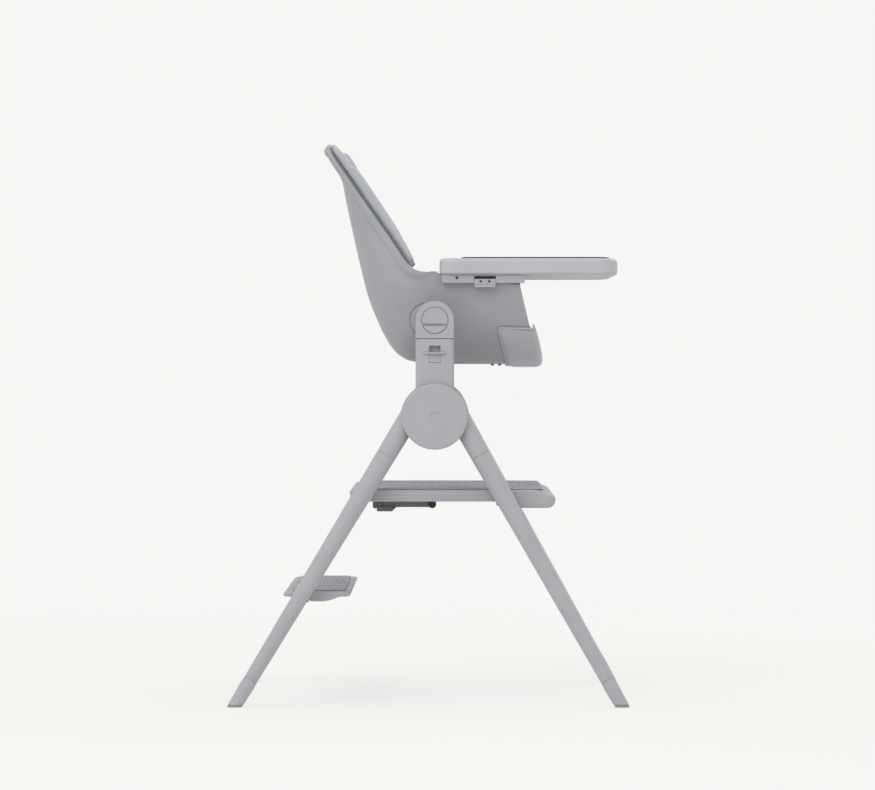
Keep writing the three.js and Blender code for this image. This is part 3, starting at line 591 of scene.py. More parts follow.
# %% The bucket's surface
HALF = 203.0
STATIONS = [
    [-194, 305, -184, 312.5, .40, .36], [-191, 291, -181, 298, .58, .53],
    [-178, 271, -168.4, 277.7, .68, .62], [-165, 249, -153.8, 256.8, .74, .66],
    [-159, 217, -136.8, 232.5, .79, .69], [-143, 142, -96.4, 174.6, .87, .73],
    [-129, 82, -63.6, 127.7, .93, .77], [-117, 37, -40, 93, .98, .80],
    [-97, -11, -12, 85.5, 1, .82], [-91, -23, -8, 85, 1, .82], [-78, -45, 0, 84.4, 1, .83],
    [-62, -61, 3, 84, 1, .835], [-39, -71, 10.5, 79.2, 1, .84], [19, -75, 60, 74, 1, .84],
    [99, -75, 110, 67, 1, .84], [180, -75, 147, 62, 1, .84],
]
FINE = 8
SQUARENESS = 0.62


class Surface:
    """A bucket through stations. Its points are at (t, turn, inset): t counts stations, turn is
    -1 at the right rim, 0 at the spine and 1 at the left rim, and inset is how far inside."""

    def __init__(self, stations, ease=0):
        self.rows = smooth_path(stations, FINE)
        for column, share in enumerate((3, 3, 2, 2, 1, 1)):
            self.rows[:, column] = self.evened(self.rows[:, column], ease // share)

    @staticmethod
    def evened(values, reach):
        """A running mean that keeps its two ends where they are."""
        if reach < 1:
            return values
        window = np.hanning(2 * reach + 3)[1:-1]
        first = 2 * values[0] - values[reach:0:-1]
        last = 2 * values[-1] - values[-2:-reach - 2:-1]
        return np.convolve(np.concatenate([first, values, last]), window / window.sum(), "valid")

    def points(self, t, turn, inset, lift=0.0):
        """Places at (t, turn, inset), lifted along the station's line by a distance."""
        t, turn, inset, lift = np.broadcast_arrays(*[np.asarray(v, float) for v in (t, turn, inset, lift)])
        place = np.clip(t * FINE, 0, len(self.rows) - 1.001)
        i, f = place.astype(int), (place % 1)[..., None]
        row = self.rows[i] * (1 - f) + self.rows[i + 1] * f
        way = row[..., 2:4] - row[..., 0:2]
        depth = np.linalg.norm(way, axis=-1)
        way = way / depth[..., None]
        angle = math.pi / 2 * turn
        share = 1 - np.abs(np.cos(angle)) ** SQUARENESS
        rim, base = row[..., 4] * HALF, row[..., 5] * HALF
        wide = (base + (rim - base) * share - inset) * np.sign(angle) * np.abs(np.sin(angle)) ** SQUARENESS
        high = inset + (depth - inset) * share + lift
        return np.stack([row[..., 0] + way[..., 0] * high, wide, row[..., 1] + way[..., 1] * high], -1)

    def above_rim(self, t, turn, lift):
        """How far a lifted place stands above the rim beside it."""
        row = self.rows[np.clip(np.asarray(t) * FINE, 0, len(self.rows) - 1).astype(int)]
        depth = np.linalg.norm(row[..., 2:4] - row[..., 0:2], axis=-1)
        return lift - depth * np.abs(np.cos(math.pi / 2 * np.asarray(turn))) ** SQUARENESS


bucket = Surface(STATIONS, ease=12)
LAST = len(STATIONS) - 1
print("bucket stations:", len(STATIONS), "rows:", len(bucket.rows))

# %% [markdown]
# ## Seat shell
#
# The shell is the bucket with a wall of five millimetres. Along the back its rim is a flat strip
# about a finger wide that stands out a little over a shallow hollow, and both fade where the
# armrest begins. There the rim also comes up by a few millimetres, because the liner covers it
# higher up. The rim's edge is rounded over, because a child's hands hold it.

# %% Seat shell
WALL = 5.0
STRIP, STRIP_PROUD = 13.0, 2.4
HOLLOW, HOLLOW_DEEP = 42.0, 1.8
RIM_DROP = 4.0
ARMREST = 7.2, 9.2


def shell_rings():
    """Rings out along the outer face, over the rim and back along the inner face."""
    rings = []
    turns = np.sin(np.linspace(-math.pi / 2, math.pi / 2, 61))
    for t in np.linspace(0, LAST, LAST * 5 + 1):
        fade = 1 - eased(t, *ARMREST)
        drop = -RIM_DROP * fade * eased(np.abs(turns), 0.6, 1.0)
        outer = bucket.points(t, turns, 0, drop)
        rim_gap = np.minimum(*[np.linalg.norm(outer - tip, axis=1) for tip in (outer[0], outer[-1])])
        proud = STRIP_PROUD * fade * (1 - eased(rim_gap, STRIP - 2.0, STRIP + 1.0))
        below = eased(rim_gap, STRIP - 1, STRIP + 4) * (1 - eased(rim_gap, STRIP + 6, HOLLOW))
        proud = proud - HOLLOW_DEEP * fade * below
        outer = bucket.points(t, turns, -proud, drop)
        inner = bucket.points(t, turns, WALL, drop)
        middle = bucket.points(t, [-1, 1], WALL / 2 - proud[0] / 2, drop[0] + 1.4)
        rings.append(np.concatenate([outer, middle[1:], inner[::-1], middle[:1]]))
    return rings


rings = shell_rings()
count = len(rings[0])
half = (count - 2) // 2
points, faces = skin(rings, start=False, end=False)
for ring in (0, len(rings) - 1):
    base = ring * count
    across = [(base + j, base + j + 1, base + count - 3 - j, base + count - 2 - j) for j in range(half - 1)]
    tips = [(base + half - 1, base + half, base + half + 1), (base + count - 2, base + count - 1, base)]
    faces += across + tips
shell = ride_piece("shell", points, faces, shell_plastic, "seat", "shell_plastic", ["seat_shell"], crease=40)
rounding = shell.modifiers.new("edge", "BEVEL")
rounding.width, rounding.segments, rounding.limit_method = 0.0012, 3, "ANGLE"
rounding.angle_limit = math.radians(50)
print("shell:", len(points), "points")

# %% [markdown]
# ## Cushions
#
# A cushion here starts as a thin pillow between two insets of the bucket: thick in the middle
# and pinched to a seam all round. Cloth with air pressure then makes it swell and pucker as
# stuffing does. The face against the shell is held where it is, and no point moves more than a
# cap. Sewn channels are pressed in afterwards, because remeshing would have wiped them out.

# %% Pillow, pressure and channels
OVERHANG = 1.6
PIPING = 1.7


def edge_of(rows, columns):
    """The border of a grid, once round from its first corner."""
    border = [(0, j) for j in range(columns)] + [(i, columns - 1) for i in range(1, rows)]
    border += [(rows - 1, j) for j in range(columns - 2, -1, -1)]
    return border + [(i, 0) for i in range(rows - 2, 0, -1)]


def two_sheets(rows, columns, joined):
    """Faces of a front grid and a back grid, joined round the border where asked."""
    faces, size = [], rows * columns
    for i in range(rows - 1):
        for j in range(columns - 1):
            k = i * columns + j
            faces.append((k, k + 1, k + columns + 1, k + columns))
            faces.append(tuple(size + v for v in (k, k + columns, k + columns + 1, k + 1)))
    if joined:
        border = [i * columns + j for i, j in edge_of(rows, columns)]
        faces += [(p, q, size + q, size + p) for p, q in zip(border, border[1:] + border[:1])]
    return faces


def crowned(rows, columns, power, blunt=1.0):
    """1 over the middle of a grid, rounding to 0 at its border, or only on its near side if blunt."""
    a, b = np.meshgrid(np.linspace(-1, 1, rows), np.linspace(-1, 1, columns), indexing="ij")
    a, b = np.where(a > 0, a * blunt, a), np.where(b > 0, b * blunt, b)
    return ((1 - np.abs(a) ** power) * (1 - np.abs(b) ** power)) ** 0.5


def pillow(ts, turns, seat, face, rows, columns, rise, blunt):
    """A pillow from a seam all round: its back follows one inset and its front crowns to another.
    A blunt share below 1 leaves its far end and far side thick, and they hang over the rim."""
    t, u = np.meshgrid(np.linspace(*ts, rows), np.linspace(*turns, columns), indexing="ij")
    crown = crowned(rows, columns, 7, blunt)
    lift = rise(t, u)
    seam = seat + (face - seat) * 0.30
    front = bucket.points(t, u, seam + (face - seam) * crown, lift)
    behind = seam + (seat - seam) * np.minimum(1, crown * 1.5)
    if blunt < 1:
        behind = behind - (behind - OVERHANG) * eased(bucket.above_rim(t, u, lift), -2.2, 2.5)
    back = bucket.points(t, u, behind, lift)
    shape = np.concatenate([front.reshape(-1, 3), back.reshape(-1, 3)])
    border = edge_of(rows, columns)
    t_seam, u_seam, lift_seam = ([grid[p] for p in border] for grid in (t, u, lift))
    seam_line = bucket.points(t_seam, u_seam, seam, lift_seam)
    return (shape, two_sheets(rows, columns, blunt < 1)), np.vstack([seam_line, seam_line[:1]])


def to_array(mesh):
    data = np.empty(len(mesh.vertices) * 3)
    mesh.vertices.foreach_get("co", data)
    return data.reshape(-1, 3)


def from_array(mesh, data):
    mesh.vertices.foreach_set("co", np.asarray(data, float).ravel())
    mesh.update()


def apply_last(obj):
    """Bakes an object's modifiers into its mesh."""
    scene_now = bpy.context.evaluated_depsgraph_get()
    baked = bpy.data.meshes.new_from_object(obj.evaluated_get(scene_now))
    obj.modifiers.clear()
    obj.data = baked


def tree_of(points):
    """A search tree over points."""
    tree = KDTree(len(points))
    for i, point in enumerate(points):
        tree.insert(Vector(point), i)
    tree.balance()
    return tree


def distances(tree, spots):
    return np.array([tree.find(Vector(spot))[2] for spot in spots])


def swell(obj, free, voxel_mm, pressure, cap_mm):
    """Fills a pillow with air, on an even remesh if a voxel size is given. free(points) is 0 where
    a point stays and 1 where it may move by up to the cap."""
    if voxel_mm:
        remesh = obj.modifiers.new("even", "REMESH")
        remesh.mode, remesh.voxel_size = "VOXEL", voxel_mm * MM
        apply_last(obj)
    rest = to_array(obj.data)
    sim = obj.modifiers.new("air", "CLOTH")
    sim.settings.use_pressure = True
    sim.settings.uniform_pressure_force = pressure
    sim.settings.quality = 4
    sim.settings.effector_weights.gravity = 0
    for number in range(1, 21):
        scene.frame_set(number)
    apply_last(obj)
    scene.frame_set(1)
    step = to_array(obj.data) - rest
    size = np.linalg.norm(step, axis=1)
    step *= (np.minimum(size, cap_mm * MM) / np.maximum(size, 1e-9))[:, None]
    from_array(obj.data, rest + step * free(rest)[:, None])


def press_lines(obj, lines, depth_mm, width_mm):
    """Presses sewn channels into a cushion along lines of points, in metres."""
    mesh = obj.data
    normals = np.array([v.normal[:] for v in mesh.vertices])
    spots = to_array(mesh)
    gap = distances(tree_of(np.concatenate(lines)), spots) / (width_mm * MM)
    from_array(mesh, spots - normals * (depth_mm * MM * np.exp(-gap ** 2))[:, None])


def soften(obj, kind, iterations, factor):
    """Evens out a soft piece's mesh, makes it finer and shades it smooth."""
    soft = obj.modifiers.new("soft", kind)
    soft.iterations, soft.factor = iterations, factor
    finer = obj.modifiers.new("finer", "SUBSURF")
    finer.levels = finer.render_levels = 1
    apply_last(obj)
    obj.data.polygons.foreach_set("use_smooth", [True] * len(obj.data.polygons))


def liner_piece(name, points, faces, finish=None, replaced=()):
    """A soft piece of the liner. It rides on the seat and shades smooth all over."""
    return ride_piece(name, points, faces, finish or piping_cloth, "seat", "liner_fabric", replaced,
                      crease=180, weigh=finish is not liner_cloth)


def level_rim(t, turn):
    return 0 * t


def cushion(name, node, ts, turns, seat, face, channels, rise=level_rim, voxel=5.0, cap=4.0,
            rows=26, columns=34, channel_depth=2.6, blunt=1.0):
    """A sewn cushion on the bucket, with its channels, and with piping where its seam is pinched."""
    shape, seam = pillow(ts, turns, seat, face, rows, columns, rise, blunt)
    made = liner_piece(name, *shape, liner_cloth, [node])
    half_way = max(3.0, 0.5 * (seat + face) - seat)
    grid = np.meshgrid(np.linspace(*ts, 40), np.linspace(*turns, 100), indexing="ij")
    back = tree_of(bucket.points(*grid, seat).reshape(-1, 3) * MM + AXIS)
    swell(made, lambda spots: eased(distances(back, spots) / MM, 2.0, half_way), voxel, 4.0, cap)
    soften(made, "SMOOTH", 3, 0.5)
    lines = [bucket.points(*line, face - 1).reshape(-1, 3) * MM + AXIS for line in channels]
    press_lines(made, lines, channel_depth, 4.2)
    if blunt == 1:
        liner_piece(f"{name}_piping", *tube(smooth_path(seam, 2), PIPING))


print("cushion helpers ready")

# %% [markdown]
# ## Liner: seat, back and head cushions
#
# The liner has three cushions down the middle. Their fronts swell towards the child, with sewn
# channels across so that they bend round the hips. The head cushion is small and sits on top.

# %% Seat, back and head cushions
def across_line(t, half_turn):
    return np.full(90, float(t)), np.linspace(-half_turn, half_turn, 90)


def along_line(ts, turn):
    return np.linspace(*ts, 120), np.full(120, float(turn))


PAD_SEAT = WALL + 1.2
cushion("seat_cushion", "seat_pad", (9.05, 14.85), (-0.55, 0.55), PAD_SEAT, PAD_SEAT + 15.5,
        [across_line(t, 0.5) for t in (11.6, 13.1, 13.95)])
cushion("back_cushion", "back_pad", (1.1, 8.75), (-0.5, 0.5), PAD_SEAT, PAD_SEAT + 16.0,
        [across_line(t, 0.46) for t in (4.75, 5.55, 6.35, 7.3)], rows=40)
cushion("head_cushion", "head_pad", (1.25, 3.95), (-0.3, 0.3), PAD_SEAT + 17.0, PAD_SEAT + 26.0,
        [along_line((1.4, 3.8), 0)], rows=22, columns=26, voxel=4.0, cap=2.5, channel_depth=1.6)

# %% [markdown]
# ## Liner: side bolsters
#
# A padded bolster wraps each side of the back and stands proud of the shell's rim, so from the
# side it shows as a pale band with a shadowed seam below it. Its top is thinner, and a small notch
# marks where the head part ends and the body part begins. A dark tube in the line between the
# bolster and the rim paints that seam's shadow, and a thin padded roll covers the shell's top edge.

# %% Side bolsters
PROUD_AT = [0, 0.7, 1.3, 2.0, 2.5, 2.75, 3.05, 4, 5, 6, 7]
PROUD = [6, 11, 13, 14, 14, 11.5, 18.5, 19, 18, 15.5, 12]


def bolster_rise(t, turn):
    """How far the bolster stands above the rim: all of it at the rim, none at the cushion's side."""
    return np.interp(t, PROUD_AT, PROUD) * eased(np.abs(turn), 0.72, 1.0)


for word, side in SIDES:
    cushion(f"side_cushion_{word}", f"side_bolster_{word}", (0.25, 6.8), (side * 0.52, side * 1.0),
            PAD_SEAT + 1.0, PAD_SEAT + 22.0, [along_line((3.1, 6.6), side * 0.80)],
            rise=bolster_rise, rows=60, columns=24, voxel=3.2, cap=1.8, channel_depth=1.4, blunt=0.9)
    # A dark tube in the seam between the bolster and the rim: painted shadow in that seam.
    seam_shadow = tube(bucket.points(np.linspace(0.3, 6.75, 80), side * 1.0, 5.4, -2.0), 2.0)
    liner_piece(f"side_welt_{word}", *seam_shadow, webbing)
roll_line = bucket.points(0.42, np.linspace(-1, 1, 45), 2.0, 0.5)
roll = liner_piece("top_roll", *tube(roll_line, 6.2, 14), liner_cloth)
print("bolsters stand", max(PROUD), "mm above the rim")

# %% [markdown]
# ## Calf flap
#
# At the front the liner folds over the edge of the shell as a padded flap. It is a cap: a strip
# wraps the outside of the bucket, and a panel closes its front. One grid makes both. It runs
# forward along the bucket first, then in towards the top line of the panel. Piping binds the
# border, and a row of stitches runs just inside it.

# %% Calf flap
FLAP = Surface([[127, -75, 89, 65, 1, .84], [142, -75, 109, 64, 1, .84], [163, -75, 130, 63, 1, .84],
                [183, -75, 150, 62, 1, .84]])
FLAP_TURN = 0.757
FLAP_GAP = 0.6
TIP, SAG = 5.0, 5.0
WRAP_ROWS, PANEL_ROWS, FLAP_COLUMNS = 15, 14, 49


def flap_sheet():
    """The flap's inner face: the wrap and the front panel, and the way out at each point."""
    turns = np.linspace(-FLAP_TURN, FLAP_TURN, FLAP_COLUMNS)
    rows = [FLAP.points(t, turns, -FLAP_GAP) for t in np.linspace(0, 3, WRAP_ROWS)]
    edge = rows[-1] + [1.6, 0, 0]
    top = np.linspace(edge[0], edge[-1], FLAP_COLUMNS)
    top = top - np.array([0, 0, SAG]) * np.sin(np.linspace(0, math.pi, FLAP_COLUMNS))[:, None]
    for share in np.linspace(0, 1, PANEL_ROWS + 1)[1:]:
        pulled = edge + (top - edge) * share
        low = np.clip((-10 - pulled[:, 2:3]) / 65, 0, 1)
        corner = 1 - eased(abs(abs(pulled[:, 1:2]) - abs(edge[0, 1])), 3.0, 22.0)
        forward, up = low * min(1, share * 5), corner * share
        rows.append(pulled + np.array([3.0, 0, 0]) * forward + np.array([0, 0, TIP]) * up)
    grid = np.array(rows)
    along, over = np.gradient(grid, axis=0), np.gradient(grid, axis=1)
    out = np.cross(over, along)
    out /= np.maximum(np.linalg.norm(out, axis=2), 1e-9)[..., None]
    if out[WRAP_ROWS // 2, FLAP_COLUMNS // 2, 2] > 0:
        out = -out
    return grid, out


grid, out_way = flap_sheet()
rows, columns = grid.shape[:2]
outer = grid + out_way * (2.2 + 2.0 * crowned(rows, columns, 9))[..., None]
flap_points = np.concatenate([outer.reshape(-1, 3), (grid + out_way * 0.2).reshape(-1, 3)])
flap = liner_piece("calf_flap", flap_points, two_sheets(rows, columns, True), liner_cloth, ["calf_apron"])
inner = tree_of(grid.reshape(-1, 3) * MM + AXIS)
swell(flap, lambda spots: eased(distances(inner, spots) / MM, 1.0, 2.2), 0, 3.0, 1.4)
soften(flap, "SMOOTH", 2, 0.3)
seam = np.array([(grid + out_way * 1.9)[p] for p in edge_of(rows, columns) + [(0, 0)]])
liner_piece("calf_flap_piping", *tube(smooth_path(seam, 1), PIPING))
inside = [(i, 0) for i in range(WRAP_ROWS - 1, 0, -1)] + [(1, j) for j in range(1, columns - 1)]
inside += [(i, columns - 1) for i in range(1, WRAP_ROWS)]
sewn = []
for i, j in inside:
    column = min(max(j, 0.55), columns - 1.55)
    spot = grid[i, int(column)] + (grid[i, int(column) + 1] - grid[i, int(column)]) * (column % 1)
    hit = flap.closest_point_on_mesh(Vector((spot + out_way[i, j] * 6) * MM + AXIS))
    sewn.append((np.array(hit[1]) - AXIS) / MM)
liner_piece("calf_flap_stitch", *tube(smooth_path(sewn, 2), 0.6, 6))
print("calf flap:", len(flap.data.vertices), "points")

# %% [markdown]
# ## Harness
#
# Flat webbing keeps its width however it twists, so it is built straight from places and
# directions and never simulated. Each strap gets rounded edges, and a row of stitches where it
# is sewn back on itself. Straps come out of bound slots in the back cushion.

# %% Straps
STRAP_HALF, STRAP_THICK = 12.5, 1.0


def strap(name, places, body, replaced):
    """A strap through [point, sideways, up] places."""
    rows = smooth_path([np.concatenate(place) for place in places], 8)
    section = [(-1, -.4), (-.96, -1), (.96, -1), (1, -.4), (1, .4), (.96, 1), (-.96, 1), (-1, .4)]
    rings = []
    for row in rows:
        side, up = unit(row[3:6], row[6:9])
        rings.append([row[:3] + STRAP_HALF * s * side + STRAP_THICK * h * up for s, h in section])
    ride_piece(name, *skin(rings), webbing, body, "webbing", replaced, crease=60)
    return rows


def unit(*ways):
    """Each direction with a length of 1."""
    return [way / np.linalg.norm(way) for way in ways]


def stitches(rows, spots):
    """Seven short raised threads across a strap at each of some rows."""
    shapes = []
    for spot in spots:
        row, ahead = rows[spot], rows[spot + 1] - rows[spot]
        side, up, way = unit(row[3:6], row[6:9], ahead[:3])
        for s in np.linspace(-0.72, 0.72, 7):
            middle = row[:3] + side * s * STRAP_HALF + up * (STRAP_THICK + 0.15)
            shapes.append(tube([middle - way * 1.5, middle + up * 0.2, middle + way * 1.5], 0.45, 6))
    return several(*shapes)


PAD_FACE = PAD_SEAT + 18
SEAT_TOP = -75 + WALL + 17


def spine_place(index, lift, y):
    """A place over the spine of one station, lifted off it, and the way up there."""
    row = np.array(STATIONS[index], float)
    up, = unit(np.array([row[2] - row[0], 0, row[3] - row[1]]))
    return np.array([row[0], y, row[1]]) + up * lift, SIDEWAYS, up


for word, side in SIDES:
    rest = PAD_FACE + 4
    places = [spine_place(i, rest, 48 - 3 * (i - 4)) for i in (4, 5, 6, 7, 8)]
    places.append((np.array([-20, 30, SEAT_TOP + 12]), np.array([0.3, 0.95, 0]), UPWARD))
    places.append((np.array([41, 18, SEAT_TOP + 8.7]), np.array([0.5, 0.86, 0]), UPWARD))
    flip = np.array([1, side, 1])
    rows = strap(f"harness_{word}", [(p * flip, d * flip, u * flip) for p, d, u in places], "seat",
                 [f"shoulder_strap_{word}"])
    threads = stitches(rows, (2, 4, 40, 42))
    ride_piece(f"harness_stitches_{word}", *threads, stitch_thread, "seat", "webbing", crease=60)
    top, below = (spine_place(i, rest - 2.6, 48 * side)[0] for i in (4, 5))
    ahead, = unit(below - top)
    slot = [top + SIDEWAYS * a + ahead * (b - 2) for a, b in outline(rectangle(-18, 18, -7, 7, 5), 5)]
    liner_piece(f"strap_slot_{word}", *loop(slot, 1.8))
    middle = rows[14]
    side_way, up_way = unit(middle[3:6], middle[6:9])
    run = np.cross(side_way, up_way)
    slide = [middle[:3] + side_way * a + run * b + up_way * 1.6
             for a, b in outline(rectangle(-17, 17, -11, 11, 4), 4)]
    bar = [middle[:3] + side_way * a + up_way * 2.4 for a in (-16, 0, 16)]
    ride_piece(f"strap_slide_{word}", *several(loop(slide, 1.9), tube(bar, 1.9)), buckle_plastic, "seat",
               "buckle_plastic", crease=60)

level = SEAT_TOP + 2.6
places = [(np.array([x, 0, z]), SIDEWAYS, UPWARD)
          for x, z in ((132, level), (102, level), (84.5, SEAT_TOP + 7.7))]
rows = strap("harness_crotch", places, "seat", ["crotch_strap"])
ride_piece("crotch_stitches", *stitches(rows, (1, 3)), stitch_thread, "seat", "webbing", crease=60)

# %% [markdown]
# ## Tray
#
# The tray is a broad slab with a cut-out for the child and a loose dish on top. Both outlines
# have eight corners, so rings of the one can be skinned to rings of the other. The dish's lip
# stands a little over the tray's border, and a thin dark ring in the gap under the lip paints the
# shadow there. A scoop in each side border leaves room for fingertips to lift it.

# %% Tray base and dish
TRAY_LOW, TRAY_HIGH = 79.5, 108.0
TRAY_REAR, TRAY_FRONT, TRAY_HALF = 8.0, 317.0, 220.0
CUT_HALF, CUT_DEEP = 138, 92
# rim beside the dish, extra room at its rear, corner radii, slant and radius of the cut-out
TRAY_PLAN = 0, 0, (22, 48, 12), 22, 60
DISH_PLAN = 18, 24, (16, 30, 10), 26, 50


def tray_ring(plan, margin, level):
    """One of the two plans, set in by a margin, at a level."""
    rim, behind, radii, slant, bend = plan
    inset = rim + margin
    rear, front, half = TRAY_REAR + behind + inset, TRAY_FRONT - inset, TRAY_HALF - inset
    cut, cut_x = CUT_HALF + inset, TRAY_REAR + CUT_DEEP + inset
    wide, broad, tight = (max(3, radius - margin) for radius in radii)
    corners = [[rear, -half, wide], [front, -half, broad], [front, half, broad], [rear, half, wide],
               [rear, cut, tight], [cut_x, cut - slant, bend], [cut_x, -cut + slant, bend],
               [rear, -cut, tight]]
    return stand_up(outline(corners, 8, 24), level, "z")


def scoop(ring, depth):
    """Lowers a ring beside the finger scoops in the tray's side borders."""
    away = np.abs(ring[:, 0] - 96) / 21
    near = eased(np.abs(ring[:, 1]), 196, 201) * (1 - eased(away, 0.1, 1.0))
    return ring - np.stack([0 * near, 0 * near, depth * near], 1)


EDGE, UNDER_EDGE = 7.0, 5.0
quarter = [math.pi / 2 * k / 6 for k in range(7)]
GAP = 0.3
rings = [tray_ring(DISH_PLAN, 1.5 - GAP, TRAY_HIGH - 13), tray_ring(DISH_PLAN, -GAP, TRAY_HIGH - 11.5)]
rings += [scoop(tray_ring(DISH_PLAN, -GAP, TRAY_HIGH - 1.2), 2.2),
          scoop(tray_ring(DISH_PLAN, -GAP - 0.9, TRAY_HIGH), 2.2)]
rings.append(scoop(tray_ring(TRAY_PLAN, 11.0, TRAY_HIGH), 1.6))
rings += [tray_ring(TRAY_PLAN, EDGE * (1 - math.sin(a)), TRAY_HIGH - EDGE * (1 - math.cos(a)))
          for a in quarter]
rings += [tray_ring(TRAY_PLAN, UNDER_EDGE * (1 - math.sin(a)), TRAY_LOW + UNDER_EDGE * (1 - math.cos(a)))
          for a in reversed(quarter)]
rings += [tray_ring(TRAY_PLAN, margin, TRAY_LOW + up) for margin, up in ((14, 0), (15, 1.2), (18, 1.6))]
ride_piece("tray_top", *skin(rings), tray_plastic, "tray", "tray_plastic", ["tray_base"], crease=50)

FLOOR_UP = TRAY_HIGH - 12.7
LIP = TRAY_HIGH + 2.0
rings = [tray_ring(DISH_PLAN, inset, level) for inset, level in (
    (2.0, FLOOR_UP), (0.5, FLOOR_UP + 1.5), (0.2, TRAY_HIGH + 0.2), (-1.6, TRAY_HIGH + 0.5),
    (-1.8, LIP - 0.4), (-1.0, LIP), (2.4, LIP + 0.1), (4.2, LIP - 0.8), (6.5, FLOOR_UP + 8.5), (9.0, FLOOR_UP + 5.2),
    (13.0, FLOOR_UP + 4.0))]
ride_piece("tray_dish", *skin(rings), tray_plastic, "insert", "tray_plastic", ["tray_insert"], crease=50)
# A dark ring in the gap under the dish's lip: painted shadow in that gap.
lip_shadow = [tray_ring(DISH_PLAN, inset, level) for inset, level in (
    (-1.9, TRAY_HIGH + 0.3), (-3.8, TRAY_HIGH + 0.3), (-4.2, TRAY_HIGH + 0.9), (-4.0, LIP - 0.2),
    (-2.9, LIP + 0.2), (-1.9, LIP - 0.1), (-1.9, TRAY_HIGH + 0.3))]
ride_piece("dish_seal", *skin(lip_shadow, start=False, end=False), shade_and_black_plastic, "insert", "rubber", crease=60)
print("tray", TRAY_FRONT - TRAY_REAR, "by", 2 * TRAY_HALF, "mm")

# %% [markdown]
# ## Foot plate and step
#
# Both boards are moulded slabs seen edge-on from the side, so each is an outline with a width, and
# the corners are rounded in plan. Two fine beads run along each side of the foot plate.
# Their tops carry a grippy mat with low ribs across it. Each rib is a short loft with rounded
# ends, and all of a mat's ribs are one mesh.

# %% Boards and grip mats
BOARD_HALF = 235.0
PLATE_TOP, STEP_TOP = 371.0, 196.0
PLATE_OUTLINE = outline([
    [-134, 351, 5], [119, 351, 4], [128, 340, 6], [216, 340, 10], [221, 360, 9], [193, 371, 16],
    [-137, 371, 6]], 8)
STEP_OUTLINE = outline([
    [-250, 187, 1.8], [-216.5, 187, 5], [-206.5, 179, 5], [-171.5, 179, 9], [-151.5, 187, 9],
    [-136, 187, 3], [-132, 196, 4], [-246, 196, 4], [-251.5, 190.5, 1.8]], 7)


def board(ring, half, corner, edge):
    """A slab across the chair from its outline, with rounded corners in plan and rounded long edges."""
    middle, reach = (ring[:, 0].max() + ring[:, 0].min()) / 2, np.ptp(ring[:, 0]) / 2
    rings = []
    for depth in sorted({*(corner * (1 - math.cos(a)) for a in np.linspace(0, math.pi / 2, 9)),
                         *(edge * (1 - math.cos(a)) for a in np.linspace(0, math.pi / 2, 6))}):
        short = corner - math.sqrt(max(0, corner ** 2 - (corner - depth) ** 2))
        inset = edge - math.sqrt(max(0, edge ** 2 - max(0, edge - depth) ** 2))
        level = set_in(ring, inset)
        level[:, 0] = middle + (level[:, 0] - middle) * (reach - short) / reach
        rings.append((half - depth, level))
    both = [(-y, level) for y, level in rings] + rings[::-1]
    return skin([stand_up(level, y, "y") for y, level in both])


ride_piece("foot_plate", *board(PLATE_OUTLINE, BOARD_HALF, 16.0, 3.5), board_plastic, "platform",
           "board_plastic", ["platform_board"], FLOOR, crease=40)
ride_piece("step_plate", *board(STEP_OUTLINE, BOARD_HALF, 20.0, 1.5), board_plastic, "stand",
           "board_plastic", ["step_board"], FLOOR, crease=40)
bead_line = slab(outline(rectangle(-96, 112, 352.0, 355.4, 1.5), 5), BOARD_HALF - 2, BOARD_HALF + 1.2, 1.1)
fine_line = slab(outline(rectangle(-96, 112, 361.0, 362.4, 0.6), 4), BOARD_HALF - 2, BOARD_HALF + 0.5, 0.4)
ride_piece("plate_beads", *several(bead_line, fine_line, mirrored(bead_line), mirrored(fine_line)),
           board_plastic, "platform", "board_plastic", (), FLOOR, crease=40)


RIB_PITCH, RIB_WIDE, RIB_HIGH, RIB_CUTS = 5.2, 2.4, 0.8, 5


def ribs(x0, x1, half, level, corner):
    """Low rounded ribs across a board, each broken into short lengths that step over row by row.
    Towards the front they shorten with the mat's rounded corners."""
    shapes, run = [], 2 * half / RIB_CUTS
    for i, x in enumerate(np.arange(x0, x1, RIB_PITCH)):
        starts = -half + run * (np.arange(RIB_CUTS + 1) - (i % 2) * 0.5)
        near = max(0, corner - (x1 - x))
        room = half - (corner - math.sqrt(corner ** 2 - near ** 2))
        for start in starts:
            low, high_y = max(-room, start + 1.5), min(room, start + run - 1.5)
            if high_y - low < 6:
                continue
            rings = [[(x + RIB_WIDE / 2 * s * a, y, level + b * RIB_HIGH) for a, b in
                      ((-1, -.3), (1, -.3), (0.8, .6), (0.35, 1), (-0.35, 1), (-0.8, .6))]
                     for y, s in ((low, 0.4), (low + 1.2, 1), (high_y - 1.2, 1), (high_y, 0.4))]
            shapes.append(skin(rings))
    return several(*shapes)


for name, node, body, x0, x1, top, corner in (
        ("plate_grip", "platform_mat", "platform", -124, 199, PLATE_TOP, 34),
        ("step_grip", "step_mat", "stand", -236, -145, STEP_TOP, 16)):
    half = BOARD_HALF - 16
    sheet_outline = outline([[x0, -half, 14], [x1, -half, corner], [x1, half, corner], [x0, half, 14]], 8)
    ride_piece(name, *slab(sheet_outline, top + 0.3, top + 2.2, 0.7, "z", 3), grip_rubber, body, "grip_mat",
               [node], FLOOR, crease=40)
    ride_piece(f"{name}_ribs", *ribs(x0 + 6, x1 - 4, half - 6, top + 2.2, corner), grip_rubber, body,
               "grip_mat", (), FLOOR, crease=50, weigh=False)
print("boards:", len(PLATE_OUTLINE), "and", len(STEP_OUTLINE), "points round, with ribs",
      RIB_PITCH, "mm apart")

